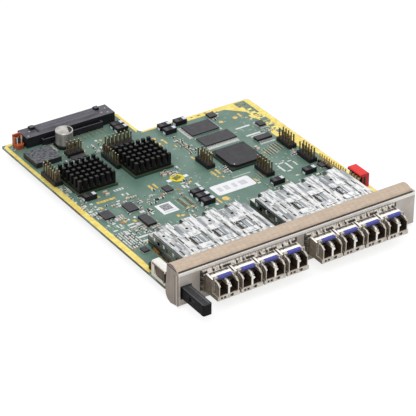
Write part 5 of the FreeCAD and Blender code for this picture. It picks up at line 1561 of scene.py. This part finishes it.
@dataclass
class BailGrip:
    """One bail as bent wire with a moulded blue grip."""

    number: int
    wire_r: float = 0.45
    arm_t: float = 0.5
    grip_side: float = 2.35
    grip_half: float = 1.1
    ribs: int = 5
    rib_pitch: float = 1.5

    def build(self) -> None:
        """Build the wire and its grip in the bail's place."""
        low, high = node_box(f"bail_{self.number}")
        x, outer = (low.x + high.x) / 2, (high.x - low.x) / 2
        y, bottom, top = (low.y + high.y) / 2, low.z + 0.6, high.z - 0.8
        shaper = Shaper()
        for side in (-1, 1):
            arm = sorted((x + side * (outer - self.arm_t), x + side * outer))
            outline = [(y - 0.6, bottom), (y - 0.3, bottom - 0.5), (y + 0.3, bottom - 0.5), (y + 0.6, bottom),
                       (y + 0.5, top), (y + 0.2, top + 0.4), (y - 0.2, top + 0.4), (y - 0.5, top)]
            shaper.section(outline, arm[0], arm[1], Axis.X, 1, 0.08)
        shaper.rod((x - outer, y, top), (x + outer, y, top), self.wire_r, 12, 1, 0.1)
        half = outer - self.grip_side
        shaper.plate(x, y, 2 * half, 2 * self.grip_half, top - 0.8, top + 0.8, 0, 0.42)
        for place in spaced(x, self.ribs, self.rib_pitch):
            shaper.plate(place, y, 0.5, 1.4, top + 0.72, top + 0.86, 0, 0.05)
        made = shaper.piece(f"bail_grip_{self.number}", [BLUE, WIRE], f"bail_{self.number}")
        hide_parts(f"bail_{self.number}")


@dataclass
class Studio:
    """Camera, soft light and white surroundings; the lamps and their target are in metres."""

    aim: Point = (2.896, 90.0, -17.93)
    distance: float = 1226.25
    azimuth: float = -33.6013
    elevation: float = 31.2314
    roll: float = 0.4426
    lens: float = 191.63683
    sensor: float = 36.0
    floor_half: float = 4000.0
    floor_gap: float = 0.02
    ambient: float = 0.62
    glow: float = 0.78
    target: Point = (0.0, 0.09, 0.0)
    lamps: tuple = (("key", (-0.5, -0.35, 0.9), 0.9, 5.0), ("fill", (0.7, 0.3, 0.7), 1.0, 2.0))

    def camera(self) -> None:
        """Place the camera at the viewing angle."""
        turn, lift, lean = (math.radians(v) for v in (self.azimuth, self.elevation, self.roll))
        back = Vector((math.sin(turn) * math.cos(lift), -math.cos(turn) * math.cos(lift), math.sin(lift)))
        right = Vector((math.cos(turn), math.sin(turn), 0.0))
        up = back.cross(right)
        across = right * math.cos(lean) + up * math.sin(lean)
        top = up * math.cos(lean) - right * math.sin(lean)
        data = bpy.data.cameras.new("camera")
        data.sensor_width = self.sensor
        data.lens = self.lens
        data.clip_end = 20.0
        holder = bpy.data.objects.new("camera", data)
        turned = Matrix((across, top, back)).transposed().to_4x4()
        holder.matrix_world = Matrix.Translation((Vector(self.aim) + back * self.distance) * MM) @ turned
        bpy.context.scene.collection.objects.link(holder)
        bpy.context.scene.camera = holder

    def lamp(self, name: str, place: Point, size: float, power: float) -> None:
        """Add a square soft lamp that faces the card.

        Args:
            name: Name of the lamp.
            place: Centre in metres.
            size: Side in metres.
            power: Watts.
        """
        data = bpy.data.lights.new(name, "AREA")
        data.size = size
        data.energy = power
        holder = bpy.data.objects.new(name, data)
        holder.location = place
        aim = Vector(self.target) - Vector(place)
        holder.rotation_euler = aim.to_track_quat("-Z", "Y").to_euler()
        bpy.context.scene.collection.objects.link(holder)

    def surroundings(self) -> None:
        """White world: full white to the camera and to reflections, plainer as light."""
        world = bpy.data.worlds.new("studio")
        bpy.context.scene.world = world
        tree = emptied_tree(world)
        path = add_node(tree, "ShaderNodeLightPath")
        seen = path.outputs["Is Camera Ray"]
        for name in ("Is Glossy Ray", "Is Transmission Ray"):
            seen = add_math(tree, "MAXIMUM", seen, path.outputs[name])
        soft, white = [add_node(tree, "ShaderNodeBackground", None,
                                {"Color": linear("#ffffff"), "Strength": strength})
                       for strength in (self.ambient, 1.0)]
        mixed = add_node(tree, "ShaderNodeMixShader", None,
                         {0: seen, 1: soft.outputs[0], 2: white.outputs[0]})
        add_node(tree, "ShaderNodeOutputWorld", None, {"Surface": mixed.outputs[0]})

    def floor(self) -> None:
        """White floor that the card rests on and that keeps its shadow."""
        low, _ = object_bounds()
        shaper = Shaper()
        bmesh.ops.create_grid(shaper.mesh, x_segments=1, y_segments=1, size=self.floor_half,
                              matrix=Matrix.Translation((0.0, 0.0, low[2] / MM - self.floor_gap)))
        material = bpy.data.materials.new("studio_floor")
        tree = emptied_tree(material)
        path = add_node(tree, "ShaderNodeLightPath")
        cover = add_node(tree, "ShaderNodeBsdfDiffuse", None, {"Color": linear("#f4f4f4")})
        veil = add_node(tree, "ShaderNodeBsdfDiffuse", None, {"Color": linear("#9c9c9c")})
        glow = add_node(tree, "ShaderNodeEmission", None,
                        {"Color": linear("#ffffff"), "Strength": self.glow})
        both = add_node(tree, "ShaderNodeAddShader", None, {0: veil.outputs[0], 1: glow.outputs[0]})
        mixed = add_node(tree, "ShaderNodeMixShader", None,
                         {0: path.outputs["Is Camera Ray"], 1: cover.outputs[0], 2: both.outputs[0]})
        add_node(tree, "ShaderNodeOutputMaterial", None, {"Surface": mixed.outputs[0]})
        shaper.placed("floor", [material])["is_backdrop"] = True

    def build(self) -> None:
        """Set up the whole studio."""
        scene = bpy.context.scene
        scene.view_settings.view_transform = "Standard"
        self.camera()
        self.surroundings()
        self.floor()
        for lamp in self.lamps:
            self.lamp(*lamp)


def main() -> None:
    """Build and dress the whole card."""
    logging.basicConfig(level=logging.INFO, format="%(name)s: %(message)s")
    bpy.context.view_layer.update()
    CadFinishes().dress()
    for part in (BoardCopper, Labels, ChipParts, ResistorNetworks, TantalumCaps, ProcessorPackage,
                 MemoryLeads, LegendMarks, RearDetail, SwitchBlock, EdgeHeader, LatchDetail, PanelTrim):
        part().build()
    for node in ("cage_left", "cage_right"):
        CageRoof(node).build()
        CollarShade(node).build()
    for number in range(1, MODULES + 1):
        NoseDetail(number).build()
        BailGrip(number).build()
    Studio().build()


if __name__ == "__main__":
    main()
